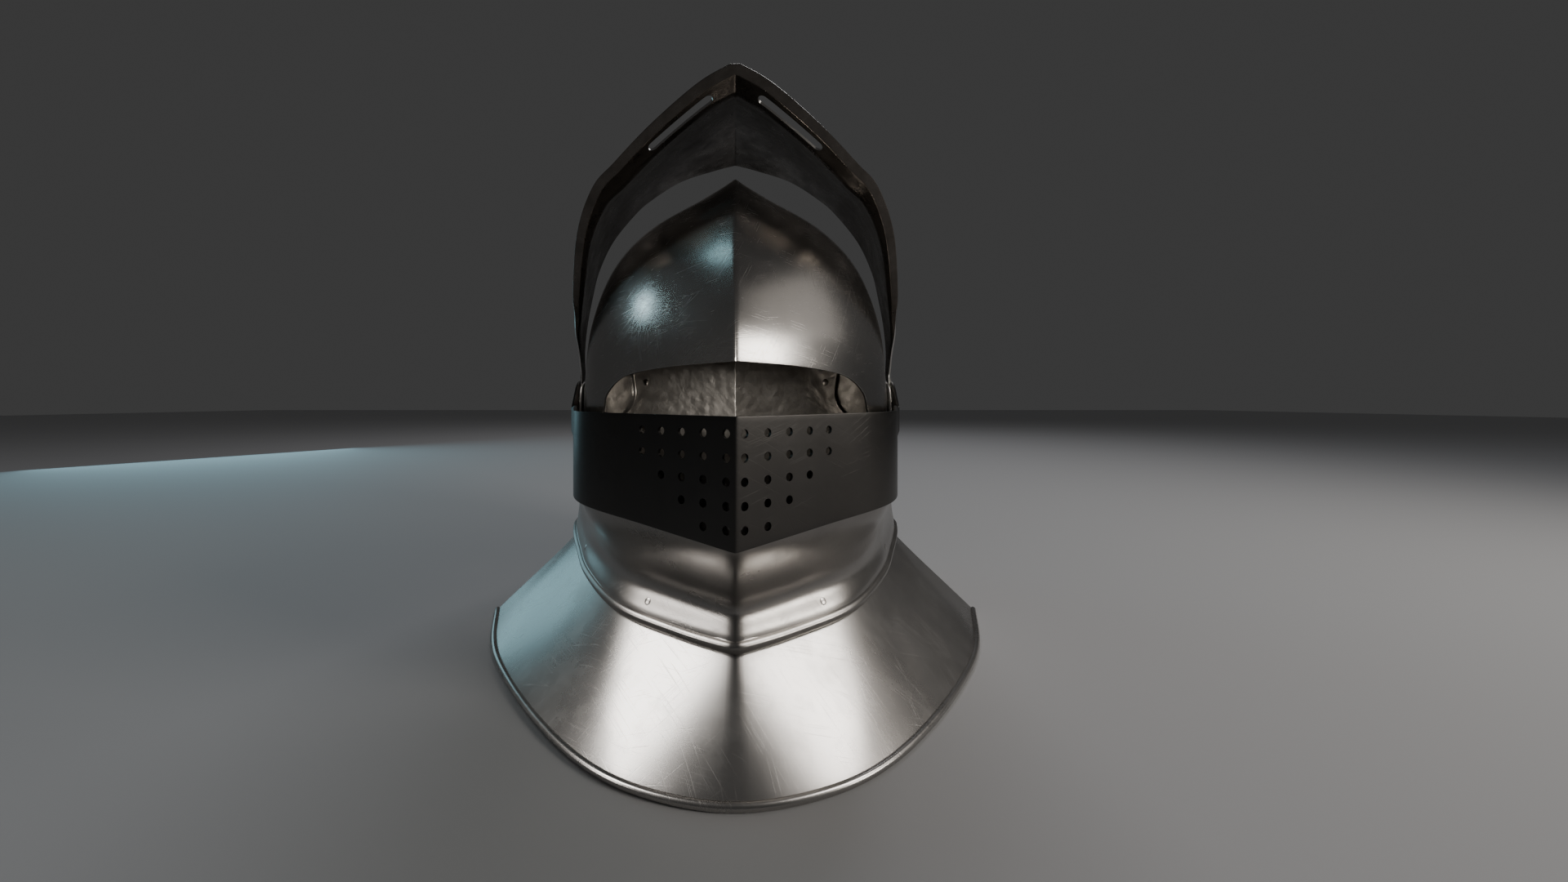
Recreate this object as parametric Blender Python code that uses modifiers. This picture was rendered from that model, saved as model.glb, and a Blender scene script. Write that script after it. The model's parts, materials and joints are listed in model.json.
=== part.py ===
"""A close helmet: skull, nape plate, bevor with its gorget plate, ventail and visor, all hung on one pivot axis.

+Z is up and the face looks along -Y, so the wearer's left is +X. The rims stand on z = 0. Plate shapes are given
around the pivot axis: x across in units of HALF_WIDTH, d forwards and h upwards from the axis in units of REACH.
"""
import bmesh
import bpy
import math
import numpy as np
from mathutils import Matrix, Vector
from mathutils.bvhtree import BVHTree

# Driving dimensions, in metres
HALF_WIDTH = 0.104        # half the width across the pivots, the unit across
REACH = 0.104             # the unit forwards and upwards from the pivot axis
PLATE = 0.0012            # thickness of every steel plate
GAP = 0.0006              # clearance between plates that slide on each other
SEAT_GAP = 0.0012         # clearance between plates that are riveted together
TOUCH = 0.0003            # clearance between a fastener and its plate
BOLT_RADIUS = 0.0026
BOLT_HEAD_RADIUS = 0.0075
BOLT_HEAD_HEIGHT = 0.0024
BOLT_POINT = 0.0012       # how far a bolt ends past its nut
WASHER_RADIUS = 0.0070
WASHER_THICKNESS = 0.0010
NUT_SIDE = 0.0110
NUT_THICKNESS = 0.0030
RIVET_RADIUS = 0.0014
RIVET_HEAD_RADIUS = 0.0030
RIVET_HEAD_HEIGHT = 0.0012
BREATH_RADIUS = 0.00145
BREATH_PITCH = 0.0075
BREATH_ROWS = (5, 5, 4, 3, 2)    # holes on each side of the keel, from the top row down
BREATH_FIRST = (0.0029, 0.0104)  # the first hole's distance from the keel, and below the pivot axis
BREATH_WAY = (0.55, -0.83, 0)    # the direction they are pierced in, on the wearer's left
SLOT_WIDTH = 0.0056
SLOT_SPAN = (0.13, 0.40)         # where a sight slot starts and ends, out from the keel
RIM_DROP = 1.215          # the rims lie this far below the pivot axis
EAR = 0.125               # radius of the plates' round ends at the pivots
ARM_END = 0.095           # radius of the visor arms' round ends
FRONT_RIM = 1.713         # how far the front rim reaches forwards
REAR_RIM = 1.35           # how far the rear rim reaches backwards
RIM_TURN = 0.022          # how far the front rim is turned out
RIM_SPARE = 0.015         # what the floor cuts off the rear rim
SKULL_CURVE = 0.0012      # how far the skull's inner face curves in under a washer
FACET = 0.0003            # room under a rivet's head for the plate's facets
GORGET_ROOM = 0.0010      # how far the gorget plate's neck is set in behind the bevor's plate
GORGET_SEAT = 0.0012      # room under a gorget rivet's inner end for the plate's curve
GORGET_RIVET_ROW = 8      # rows and columns of the bevor's net
GORGET_RIVET_COLUMNS = (3, 7, 11)
BAND_HEIGHTS = (0.58, 0.42)
LINER_BAND = 0.0015
LINER_QUILT = 0.0060
CAP_PLACE = (-0.03, 0.44)  # the lining cap's middle, forwards and upwards from the pivot axis
CAP_SIZE = (0.80, 0.86, 0.70)
STUD_PLACE = (0.10, 0.25)  # place along the skull's level outline, height
STUD_RADIUS = 0.0018
STUD_RISE = 0.0020
STUD_FLANGE = 0.0009
STUD_FLANGE_RADIUS = 0.0048
STUD_TAIL = 0.0008
NAPE_RIVETS = [(-0.57, 0.14), (-0.56, -0.22), (-0.86, -0.30)]   # places along the level outline, heights
LINER_RIVETS = [(-0.34, 0.50), (-0.64, 0.50), (-0.90, 0.50)]
CUTTER = 0.02             # how far a cutter reaches on each side of a plate

# The stack of plates on a pivot bolt, from the skull outwards: each plate's outer face
SKULL_FACE = 0.948 * HALF_WIDTH
BEVOR_FACE = SKULL_FACE + GAP + PLATE
VISOR_FACE = BEVOR_FACE + GAP + PLATE
VENTAIL_FACE = VISOR_FACE + GAP + PLATE
BEVOR_X = BEVOR_FACE / HALF_WIDTH
VISOR_X = (VISOR_FACE - PLATE) / HALF_WIDTH
VENTAIL_X = VENTAIL_FACE / HALF_WIDTH

FRONT_REACH = (FRONT_RIM + 0.7 * RIM_TURN) * REACH         # where the floor plane cuts the front rim
REAR_REACH = REAR_RIM * REACH - 2 * PLATE - 1.5 * SEAT_GAP  # and the rear one
PIVOT = Vector((0, (FRONT_REACH - REAR_REACH) / 2, RIM_DROP * REACH))

# Level outlines of the skull and the nape plate: how far the middle line and the sides reach at each height
FRONT_LINE = [(-0.05, 1.33), (0.25, 1.285), (0.48, 1.21), (0.75, 1.01), (0.97, 0.70), (1.10, 0.40),
              (1.15, 0.16), (1.16, -0.20), (1.16, -0.70), (1.20, -1.216)]
REAR_LINE = [(-0.05, 1.33), (-0.42, 1.26), (-0.78, 1.00), (-1.01, 0.65), (-1.10, 0.28), (-1.07, -0.12),
             (-0.98, -0.45), (-0.95, -0.66), (-0.99, -0.86), (-1.13, -1.05), (-REAR_RIM, -1.216)]
SIDE_LINE = [(0.0, 1.33), (0.135, 1.23), (0.376, 1.104), (0.618, 0.978), (0.80, 0.771), (0.915, 0.45),
             (0.948, 0.12), (0.948, -0.10), (0.92, -0.40), (0.89, -0.66), (0.935, -0.86), (1.09, -1.05),
             (1.33, -1.216)]
WIDEST = 0.42             # where the widest place lies, from the back to the front
FRONT_POWER = 2.4         # how blunt a level outline is in front, and behind
REAR_POWER = 2.6
ROW_CROWDING = 1.35       # how much closer the rows of points lie near the comb than near the lower edge
PROFILE_STEPS = 24        # steps on each span of a profile line

# Lower edge of the skull, from the brow's keel to the nape: place along the level outline (1 front, -1 back), height
SKULL_EDGE = [(1.0, 0.16), (0.84, 0.148), (0.70, 0.115), (0.61, 0.03), (0.575, -0.08), (0.48, -0.17),
              (0.18, -0.20), (-0.12, -0.36), (-0.42, -0.54), (-0.72, -0.60), (-1.0, -0.62)]
# Side edge of the nape plate, from its top to the rim
NAPE_EDGE = [(-0.475, 0.25), (-0.475, -0.05), (-0.04, -0.33), (0.04, -0.58), (0.16, -0.85), (0.32, -1.04),
             (0.42, -RIM_DROP)]


def through(knots, steps):
    """A smooth curve through the knots, in `steps` steps a span. The knots may be numbers, points or whole curves."""
    knots = np.asarray(knots, float)
    knots = np.concatenate([[2 * knots[0] - knots[1]], knots, [2 * knots[-1] - knots[-2]]])
    t = (np.arange(steps) / steps).reshape(-1, *[1] * (knots.ndim - 1))
    spans = [0.5 * (2 * b + (c - a) * t + (2 * a - 5 * b + 4 * c - d) * t**2 + (3 * b - a - 3 * c + d) * t**3)
             for a, b, c, d in zip(knots, knots[1:], knots[2:], knots[3:])]
    return np.concatenate(spans + [knots[-2:-1]])


def placed(x, d, h):
    """World points from the plates' own measures: x across, d forwards and h upwards from the pivot axis."""
    x, d, h = np.broadcast_arrays(x, d, h)
    return np.stack([x * HALF_WIDTH, PIVOT.y - d * REACH, PIVOT.z + h * REACH], axis=-1)


def keel(line, other):
    """A keel line as heights and reaches from the rim up. It runs smoothly over the comb into the other one."""
    half = through(line[::-1] + other[1:], PROFILE_STEPS)[:(len(line) - 1) * PROFILE_STEPS + 1]
    return np.maximum.accumulate(half[:, 1]), half[:, 0]


FRONT_KEEL, REAR_KEEL = keel(FRONT_LINE, REAR_LINE), keel(REAR_LINE, FRONT_LINE)
SIDE_CURVE = through(SIDE_LINE, PROFILE_STEPS)[::-1, ::-1].T


def level_point(s, height, inset=0.0):
    """A point of the skull's shape: s runs round its level outline, 1 at the front and -1 at the back."""
    front = np.interp(height, *FRONT_KEEL) - inset / REACH
    rear = np.interp(height, *REAR_KEEL) + inset / REACH
    side = np.interp(height, *SIDE_CURVE) - inset / HALF_WIDTH
    middle = rear + WIDEST * (front - rear)
    power = np.where(s > 0, FRONT_POWER, REAR_POWER)
    x = np.maximum(side, 0) * (1 - np.abs(s) ** power)
    d = np.where(s > 0, middle + s * (front - middle), middle + s * (middle - rear))
    return placed(x, d, height)


def new_object(name, mesh, material=None):
    piece = bpy.data.objects.new(name, mesh)
    (helmet if material else helpers).objects.link(piece)
    if material:
        mesh.materials.append(material)
    else:
        piece.hide_render = True
        piece.display_type = "WIRE"
    return piece


def sheet_mesh(name, grid):
    """A mesh of quads over a grid of points, with its faces turned away from the pivot axis."""
    rows, columns = grid.shape[:2]
    mesh = bmesh.new()
    verts = [[mesh.verts.new(point) for point in row] for row in grid]
    for i in range(rows - 1):
        for j in range(columns - 1):
            mesh.faces.new((verts[i][j], verts[i][j + 1], verts[i + 1][j + 1], verts[i + 1][j]))
    bmesh.ops.remove_doubles(mesh, verts=mesh.verts, dist=1e-6)
    bmesh.ops.recalc_face_normals(mesh, faces=mesh.faces)
    outward = sum(face.normal.dot(face.calc_center_median() - PIVOT) * face.calc_area() for face in mesh.faces)
    if outward < 0:
        bmesh.ops.reverse_faces(mesh, faces=mesh.faces)
    data = bpy.data.meshes.new(name)
    mesh.to_mesh(data)
    mesh.free()
    data.shade_smooth()
    return data


def plate(name, grid, material, side=-1, thickness=PLATE):
    """A plate of even thickness over a half grid, mirrored at the middle plane. side -1 thickens it inwards."""
    piece = new_object(name, sheet_mesh(name, grid), material)
    mirror = piece.modifiers.new("halves", "MIRROR")
    mirror.use_clip = True
    mirror.merge_threshold = 1e-5
    wall = piece.modifiers.new("wall", "SOLIDIFY")
    wall.thickness = thickness
    wall.offset = side
    wall.use_even_offset = True
    return piece


def turned(name, profile, steps, place, axis, material):
    """A round piece turned from (radius, height) points, top to bottom, with its heights along an axis from a place."""
    data = bpy.data.meshes.new(name)
    data.from_pydata([(radius, 0, height) for radius, height in profile],
                     [(i, i + 1) for i in range(len(profile) - 1)], [])
    piece = new_object(name, data, material)
    piece.matrix_world = Matrix.Translation(place) @ Vector(axis).to_track_quat("Z", "Y").to_matrix().to_4x4()
    screw = piece.modifiers.new("turn", "SCREW")
    screw.steps = screw.render_steps = steps
    screw.use_merge_vertices = True
    screw.merge_threshold = 1e-5
    screw.use_normal_calculate = False
    return piece


def pins(name, seats, radius, sides):
    """One cutter of straight pins along each seat's normal."""
    mesh = bmesh.new()
    for place, axis, length in seats:
        turn = Matrix.Translation(place) @ Vector(axis).to_track_quat("Z", "Y").to_matrix().to_4x4()
        bmesh.ops.create_cone(mesh, cap_ends=True, segments=sides, radius1=radius, radius2=radius, depth=length,
                              matrix=turn)
    data = bpy.data.meshes.new(name)
    mesh.to_mesh(data)
    mesh.free()
    return new_object(name, data)


def cut(piece, cutter):
    boolean = piece.modifiers.new(cutter.name, "BOOLEAN")
    boolean.operation = "DIFFERENCE"
    boolean.solver = "EXACT"
    boolean.object = cutter


def steel(name, colour, roughness):
    material = bpy.data.materials.new(name)
    material.use_nodes = True
    shader = material.node_tree.nodes["Principled BSDF"]
    shader.inputs["Base Color"].default_value = (*colour, 1)
    shader.inputs["Metallic"].default_value = 1.0
    shader.inputs["Roughness"].default_value = roughness
    return material


def cloth(name, colour, roughness):
    material = steel(name, colour, roughness)
    material.node_tree.nodes["Principled BSDF"].inputs["Metallic"].default_value = 0.0
    return material


for startup in list(bpy.data.objects):
    bpy.data.objects.remove(startup)
helmet = bpy.data.collections.new("close_helmet")
helpers = bpy.data.collections.new("cutters")
for collection in (helmet, helpers):
    bpy.context.scene.collection.children.link(collection)
helpers.hide_render = True

dark_steel = steel("polished_steel", (0.42, 0.41, 0.40), 0.25)
rivet_steel = steel("rivet_steel", (0.46, 0.45, 0.44), 0.30)
lining_linen = cloth("lining_linen", (0.46, 0.40, 0.30), 0.9)
band_leather = cloth("band_leather", (0.16, 0.09, 0.05), 0.6)

ACROSS = Vector((1, 0, 0))
SKULL_ROWS = 12
NAPE_COLUMNS = 16
PLATE_ROWS = 4
EAR_STEPS = 6
RIVET_SIDES = 8


def ear_chords(radius, towards, start, x):
    """Near and far ends of the chords of a plate's round end, from its neck to its tip, as (x, d, h)."""
    turn = np.radians(np.linspace(start, 180, EAR_STEPS + 1))
    middle = math.radians(towards)
    across = np.full(EAR_STEPS + 1, x)
    near = np.stack([across, radius * np.cos(middle - turn), radius * np.sin(middle - turn)], axis=-1)
    far = np.stack([across, radius * np.cos(middle + turn), radius * np.sin(middle + turn)], axis=-1)
    return near, far


def between(first, last, rows):
    """Rows of points straight from one edge to another."""
    share = np.linspace(0, 1, rows + 1)[:, None, None]
    return first + (last - first) * share


def sideways(curve):
    """The level direction that points out from a curve, at each of its points."""
    forwards = np.gradient(curve[:, :2], axis=0)
    forwards /= np.linalg.norm(forwards, axis=1)[:, None]
    return np.stack([-forwards[:, 1], forwards[:, 0], np.zeros(len(curve))], axis=-1)


def over_keel(knots, steps):
    """A curve through the knots whose slope is level where it crosses the keel."""
    across, *rest = knots[1]
    return through([(-across, *rest)] + knots, steps)[steps:]


def set_in(curve, room):
    """The curve moved in by a room in metres, square to itself. Its keel point stays in the middle plane."""
    outwards = sideways(curve)
    inside = curve - outwards * room / REACH
    inside[0, :2] = 0, curve[0, 1] - room / REACH / outwards[0, 1]
    return inside


def seat(grid, row, column, side=1):
    """A grid point and the outward normal of the plate there, on the right (side 1) or the left half."""
    rows, columns = grid.shape[:2]
    i, j = min(max(row, 1), rows - 2), min(max(column, 1), columns - 2)
    down = Vector(grid[i + 1, j] - grid[i - 1, j])
    along = Vector(grid[i, j + 1] - grid[i, j - 1])
    place = Vector(grid[row, column])
    normal = down.cross(along).normalized()
    if normal.dot(place - PIVOT) < 0:
        normal.negate()
    return Vector((side * place.x, place.y, place.z)), Vector((side * normal.x, normal.y, normal.z))


def rivet(name, place, normal, grip):
    """A rivet with a domed head outside the plates and a flatter one inside, `grip` apart."""
    outer, inner = TOUCH, -grip - TOUCH
    radius, head = RIVET_HEAD_RADIUS, RIVET_HEAD_HEIGHT
    profile = [(0, outer + head), (0.62 * radius, outer + 0.72 * head), (radius, outer),
               (RIVET_RADIUS, outer), (RIVET_RADIUS, inner), (0.85 * radius, inner),
               (0.6 * radius, inner - 0.6 * head), (0, inner - 0.6 * head)]
    return turned(name, profile, RIVET_SIDES, place, normal, rivet_steel)


def pin_seat(place, normal, grip):
    """Where a clearance hole for a rivet goes, with its length through the plates."""
    return place - normal * grip / 2, normal, 3 * grip


# Skull
edge_s, edge_height = through(SKULL_EDGE, 2).T
crown = SIDE_LINE[0][1]
drop = np.linspace(0, 1, SKULL_ROWS + 1)[:, None] ** ROW_CROWDING
skull = plate("skull", level_point(edge_s[None, :], crown + (edge_height - crown) * drop), dark_steel)

# Nape plate: the same shape, set in by the skull's thickness, with its side edge running down to the rim
nape_edge = through(NAPE_EDGE, 2)
nape_edge[-1, 1] -= RIM_SPARE
nape_s = -1 + (nape_edge[:, :1] + 1) * np.linspace(0, 1, NAPE_COLUMNS + 1)
nape_plate = plate("nape_plate", level_point(nape_s, nape_edge[:, 1:], PLATE + SEAT_GAP), dark_steel)

# Bevor: guide curves from the keel to its rear edge, each (x, d, h)
BEVOR_TOP = [(0, 1.68, -0.22), (0.30, 1.465, -0.21), (0.56, 1.275, -0.20), (0.655, 1.06, -0.20),
             (0.76, 0.76, -0.19), (0.87, 0.42, -0.17), (0.945, 0.20, -0.13)]
BEVOR_CHIN = [(0, 1.685, -0.46), (0.30, 1.47, -0.44), (0.56, 1.28, -0.42), (0.66, 1.05, -0.40),
              (0.765, 0.75, -0.38), (0.87, 0.42, -0.36), (0.95, 0.18, -0.34)]
BEVOR_THROAT = [(0, 1.42, -0.72), (0.22, 1.27, -0.71), (0.47, 1.10, -0.69), (0.67, 0.82, -0.66),
                (0.80, 0.55, -0.63), (0.90, 0.32, -0.61), (0.95, 0.17, -0.60)]
BEVOR_LIP = [(0, 1.446, -0.85), (0.225, 1.306, -0.85), (0.487, 1.128, -0.83), (0.698, 0.83, -0.80),
             (0.822, 0.562, -0.77), (0.91, 0.35, -0.74), (0.955, 0.20, -0.72)]
LIP_BAND = 0.043          # height of the raised lip
LIP_RISE = 0.018          # how far it stands out

rear_turn = np.radians([30, 60, 90, 120, 150, 180])
ear_d, ear_h = EAR * np.cos(rear_turn), EAR * np.sin(rear_turn)
guides = []
for guide in (BEVOR_TOP, BEVOR_CHIN, BEVOR_THROAT, BEVOR_LIP):
    front = through(guide, 2)
    height = ear_h if guide is BEVOR_TOP else np.full(len(ear_d), guide[-1][2])
    guides.append(np.concatenate([front, np.stack([np.full(len(ear_d), BEVOR_X), ear_d, height], axis=-1)]))
guides = through(guides, 3)
lip = guides[-1]
outwards = sideways(lip)
lip_rows = [lip + outwards * rise - np.array([0, 0, drop])
            for rise, drop in ((LIP_RISE, 0.4 * LIP_BAND), (0.5 * LIP_RISE, LIP_BAND))]
bevor_net = np.concatenate([guides, lip_rows])
bevor_points = placed(*np.moveaxis(bevor_net, -1, 0))
bevor = plate("bevor", bevor_points, dark_steel)

# Front gorget plate: its top and neck follow the bevor's face, set in; its rim stands on the floor
GORGET_TOP = [(0, 1.399, -0.765), (0.218, 1.256, -0.76), (0.476, 1.081, -0.745), (0.685, 0.809, -0.71),
              (0.811, 0.543, -0.68), (0.898, 0.327, -0.66), (0.943, 0.165, -0.645)]
GORGET_NECK = [(0, 1.458, -0.89), (0.233, 1.308, -0.885), (0.499, 1.127, -0.87), (0.712, 0.828, -0.84),
               (0.833, 0.56, -0.81), (0.919, 0.337, -0.79), (0.962, 0.175, -0.78)]
GORGET_RIM = [(0, FRONT_RIM, -1.2), (0.28, 1.657, -1.2), (0.52, 1.523, -1.2), (0.785, 1.274, -1.2),
              (1.05, 0.956, -1.2), (1.21, 0.70, -1.2), (1.365, 0.343, -1.2)]
inner_top, inner_neck = [set_in(through(guide, 2), PLATE + GORGET_ROOM) for guide in (GORGET_TOP, GORGET_NECK)]
gorget_net = through([inner_top, inner_neck, over_keel(GORGET_RIM, 2)], 3)
rim = gorget_net[-1]
rim_out = sideways(rim) - np.array([0, 0, 1])
gorget_net = np.concatenate([gorget_net, [rim + rim_out * RIM_TURN]])
gorget_points = placed(*np.moveaxis(gorget_net, -1, 0))
gorget_front = plate("gorget_front", gorget_points, dark_steel)

# Ventail: a band from its keel to a round end on each pivot
VENTAIL_TOP = [(0, 1.72, -0.048), (0.30, 1.51, -0.046), (0.585, 1.31, -0.042), (0.68, 1.10, -0.036),
               (0.78, 0.79, -0.03), (0.90, 0.42, -0.03), (0.985, 0.22, -0.045)]
VENTAIL_BOTTOM = [(0, 1.72, -0.452), (0.30, 1.51, -0.422), (0.585, 1.31, -0.39), (0.68, 1.10, -0.365),
                  (0.78, 0.79, -0.31), (0.90, 0.42, -0.235), (0.985, 0.22, -0.18)]
low_ear, high_ear = ear_chords(EAR, -22, 60, VENTAIL_X)
ventail_net = between(np.concatenate([through(VENTAIL_TOP, 2), high_ear]),
                      np.concatenate([through(VENTAIL_BOTTOM, 2), low_ear]), PLATE_ROWS)
ventail = plate("ventail", placed(*np.moveaxis(ventail_net, -1, 0)), dark_steel)

# Visor, raised: guide curves round the pivot axis, each (x, radius, turn up from straight ahead in degrees)
VISOR_LOWER = [(0, 1.751, 57), (0.153, 1.676, 57), (0.377, 1.516, 57), (0.573, 1.35, 57), (0.686, 1.246, 57),
               (0.796, 1.032, 57), (0.881, 0.715, 57), (0.915, 0.58, 60), (0.952, 0.43, 66),
               (VISOR_X, 0.27, 77), (VISOR_X, 0.17, 80)]
VISOR_UPPER = [(0, 1.537, 92), (0.14, 1.50, 92), (0.36, 1.425, 92), (0.56, 1.295, 92), (0.67, 1.19, 92),
               (0.80, 1.02, 92), (0.885, 0.83, 92), (0.925, 0.66, 92), (0.957, 0.475, 92),
               (VISOR_X, 0.30, 92), (VISOR_X, 0.17, 97)]
FLANGE = 0.045            # how far the flange stands out
LEDGE_DROP = 0.085        # how far the sight ledge steps in towards the axis
LEDGE_WIDTH = 0.095       # measured round the axis
MARGIN = 0.022            # the flange's and the ledge's width where they have died out, on the arms
FLANGE_FADE = [1, 1, 1, 1, 1, 1, 0.8, 0.5, 0.2, 0, 0]
LEDGE_FADE = [1, 1, 1, 1, 0.9, 0.7, 0.5, 0.3, 0.1, 0, 0]
lower, upper = through(VISOR_LOWER, 2), through(VISOR_UPPER, 2)
along = np.gradient(lower[:, :2], axis=0)
along /= np.linalg.norm(along, axis=1)[:, None]
flange_fade, ledge_fade = through(FLANGE_FADE, 2), through(LEDGE_FADE, 2)
flange_edge = lower + np.stack([-along[:, 1] * FLANGE * flange_fade, along[:, 0] * FLANGE * flange_fade,
                                -np.degrees(MARGIN * (1 - flange_fade) / lower[:, 1])], axis=-1)
ledge_width = MARGIN + (LEDGE_WIDTH - MARGIN) * ledge_fade
ledge_edge = lower + np.stack([0 * ledge_fade, -LEDGE_DROP * ledge_fade, np.degrees(ledge_width / lower[:, 1])],
                              axis=-1)
visor_net = np.concatenate([[flange_edge, lower], between(ledge_edge, upper, PLATE_ROWS)])
visor_turn = np.radians(visor_net[..., 2])
visor_net = np.stack([visor_net[..., 0], visor_net[..., 1] * np.cos(visor_turn),
                      visor_net[..., 1] * np.sin(visor_turn)], axis=-1)
near_end, far_end = ear_chords(ARM_END, 85.5, 30, VISOR_X)
share = np.linspace(0, 1, len(visor_net))[:, None, None]
visor_net = np.concatenate([visor_net, near_end + (far_end - near_end) * share], axis=1)
visor = plate("visor", placed(*np.moveaxis(visor_net, -1, 0)), dark_steel, side=1)

# Floor plane: the rims are cut flat where they stand
floor_cut = pins("floor_cut", [(Vector((0, 0, -CUTTER)), Vector((0, 0, 1)), 2 * CUTTER)], 4 * REACH, 8)
cut(nape_plate, floor_cut)
cut(gorget_front, floor_cut)

# Pivot bolts, washers and nuts
stack = VENTAIL_FACE - SKULL_FACE + PLATE
bolt_hole = BOLT_RADIUS + TOUCH
bolt_holes = pins("bolt_holes", [(PIVOT, ACROSS, 3 * HALF_WIDTH)], bolt_hole, 16)
for piece in (skull, bevor, visor, ventail):
    cut(piece, bolt_holes)
for side, word in ((1, "left"), (-1, "right")):
    outwards = ACROSS * side
    face = PIVOT + outwards * (VENTAIL_FACE + TOUCH)
    inside = -(stack + 2 * TOUCH + SKULL_CURVE)
    nut_face = inside - WASHER_THICKNESS - TOUCH
    bolt_end = nut_face - NUT_THICKNESS - BOLT_POINT
    turned(f"pivot_bolt_{word}",
           [(0, BOLT_HEAD_HEIGHT), (0.45 * BOLT_HEAD_RADIUS, 0.88 * BOLT_HEAD_HEIGHT),
            (0.85 * BOLT_HEAD_RADIUS, 0.45 * BOLT_HEAD_HEIGHT), (BOLT_HEAD_RADIUS, 0), (BOLT_RADIUS, 0),
            (BOLT_RADIUS, bolt_end), (0, bolt_end)], 16, face, outwards, rivet_steel)
    turned(f"pivot_washer_{word}",
           [(bolt_hole, inside), (WASHER_RADIUS, inside), (WASHER_RADIUS, inside - WASHER_THICKNESS),
            (bolt_hole, inside - WASHER_THICKNESS), (bolt_hole, inside)], 16, face, outwards, rivet_steel)
    nut = bmesh.new()
    nut_middle = face + outwards * (nut_face - NUT_THICKNESS / 2)
    bmesh.ops.create_cube(nut, size=1, matrix=Matrix.Translation(nut_middle)
                          @ Matrix.Diagonal((NUT_THICKNESS, NUT_SIDE, NUT_SIDE, 1)))
    nut_mesh = bpy.data.meshes.new(f"pivot_nut_{word}")
    nut.to_mesh(nut_mesh)
    nut.free()
    cut(new_object(f"pivot_nut_{word}", nut_mesh, rivet_steel), bolt_holes)

# Breath holes: columns beside the keel, fewer in each lower row
keel_slope = np.array(VENTAIL_TOP)[:3, :2]
breath = []
for row, count in enumerate(BREATH_ROWS):
    for column in range(count):
        x = BREATH_FIRST[0] + BREATH_PITCH * column
        d = np.interp(x / HALF_WIDTH, keel_slope[:, 0], keel_slope[:, 1])
        place = Vector(placed(x / HALF_WIDTH, d, -(BREATH_FIRST[1] + BREATH_PITCH * row) / REACH))
        way = Vector(BREATH_WAY)
        for side in (1, -1):
            breath.append((Vector((side * place.x, place.y, place.z)), Vector((side * way.x, way.y, way.z)),
                           6 * PLATE))
cut(ventail, pins("breath_holes", breath, BREATH_RADIUS, 6))

# Sight slots: one each side, in the ledge behind the flange
ledge_mid = (np.array([lower, ledge_edge])).mean(axis=0)
slot_radius = np.interp(SLOT_SPAN, ledge_mid[:, 0], ledge_mid[:, 1])
slot_turn = math.radians(ledge_mid[0, 2])
ends = [Vector(placed(x, r * math.cos(slot_turn), r * math.sin(slot_turn))) for x, r in zip(SLOT_SPAN, slot_radius)]
slot_along = (ends[1] - ends[0]).normalized()
ledge_down = Vector(placed(0, ledge_edge[0, 1] * math.cos(math.radians(ledge_edge[0, 2])),
                           ledge_edge[0, 1] * math.sin(math.radians(ledge_edge[0, 2])))
                    - placed(0, lower[0, 1] * math.cos(math.radians(lower[0, 2])),
                             lower[0, 1] * math.sin(math.radians(lower[0, 2]))))
slot_normal = slot_along.cross(ledge_down).normalized()
slot_across = slot_normal.cross(slot_along)
for side in (1, -1):
    outline = []
    for end, start in ((ends[1], -90), (ends[0], 90)):
        for step in range(7):
            turn = math.radians(start + 30 * step)
            point = end + SLOT_WIDTH / 2 * (slot_along * math.cos(turn) + slot_across * math.sin(turn))
            outline.append(point)
    slot = bmesh.new()
    verts = [slot.verts.new(point - slot_normal * CUTTER / 2) for point in outline]
    face = slot.faces.new(verts)
    pulled = bmesh.ops.extrude_face_region(slot, geom=[face])["geom"]
    bmesh.ops.translate(slot, verts=[v for v in pulled if isinstance(v, bmesh.types.BMVert)], vec=slot_normal * CUTTER)
    bmesh.ops.scale(slot, vec=(side, 1, 1), verts=slot.verts)
    bmesh.ops.recalc_face_normals(slot, faces=slot.faces)
    slot_mesh = bpy.data.meshes.new(f"sight_slot_{side}")
    slot.to_mesh(slot_mesh)
    slot.free()
    cut(visor, new_object(f"sight_slot_{side}", slot_mesh))

# Rivets on the skull's shape: three pairs through the nape plate, three pairs through the lining's band
def skull_seat(s, height, side):
    """A point of the skull's outer face and its outward normal."""
    spot = np.array([[level_point(np.array(s + 0.01 * i), np.array(height - 0.01 * j)) for i in (-1, 0, 1)]
                     for j in (-1, 0, 1)])
    return seat(spot, 1, 1, side)


def rivet_pairs(name, places, grip):
    """Rivets at (s, height) places on both sides of the skull, and the seats of their holes."""
    holes = []
    for number, (s, height) in enumerate(places):
        for side in (1, -1):
            place, normal = skull_seat(s, height, side)
            rivet(f"{name}_{2 * number + (1 if side > 0 else 2)}", place + normal * FACET, normal, grip + 2 * FACET)
            holes.append(pin_seat(place, normal, grip))
    return pins(f"{name}_holes", holes, RIVET_RADIUS + TOUCH, RIVET_SIDES)


nape_holes = rivet_pairs("nape_rivet", NAPE_RIVETS, 2 * PLATE + SEAT_GAP)
cut(skull, nape_holes)
cut(nape_plate, nape_holes)

# Lining: a leather band riveted inside the skull, and a quilted cap that is sewn to it
round_band = np.linspace(1, -1, 19)[None, :]
band_points = level_point(round_band, np.linspace(*BAND_HEIGHTS, 3)[:, None], PLATE + SEAT_GAP)
liner_band = plate("liner_band", band_points, band_leather, thickness=LINER_BAND)
band_holes = rivet_pairs("liner_rivet", LINER_RIVETS, PLATE + SEAT_GAP + LINER_BAND)
cut(skull, band_holes)
cut(liner_band, band_holes)

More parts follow.
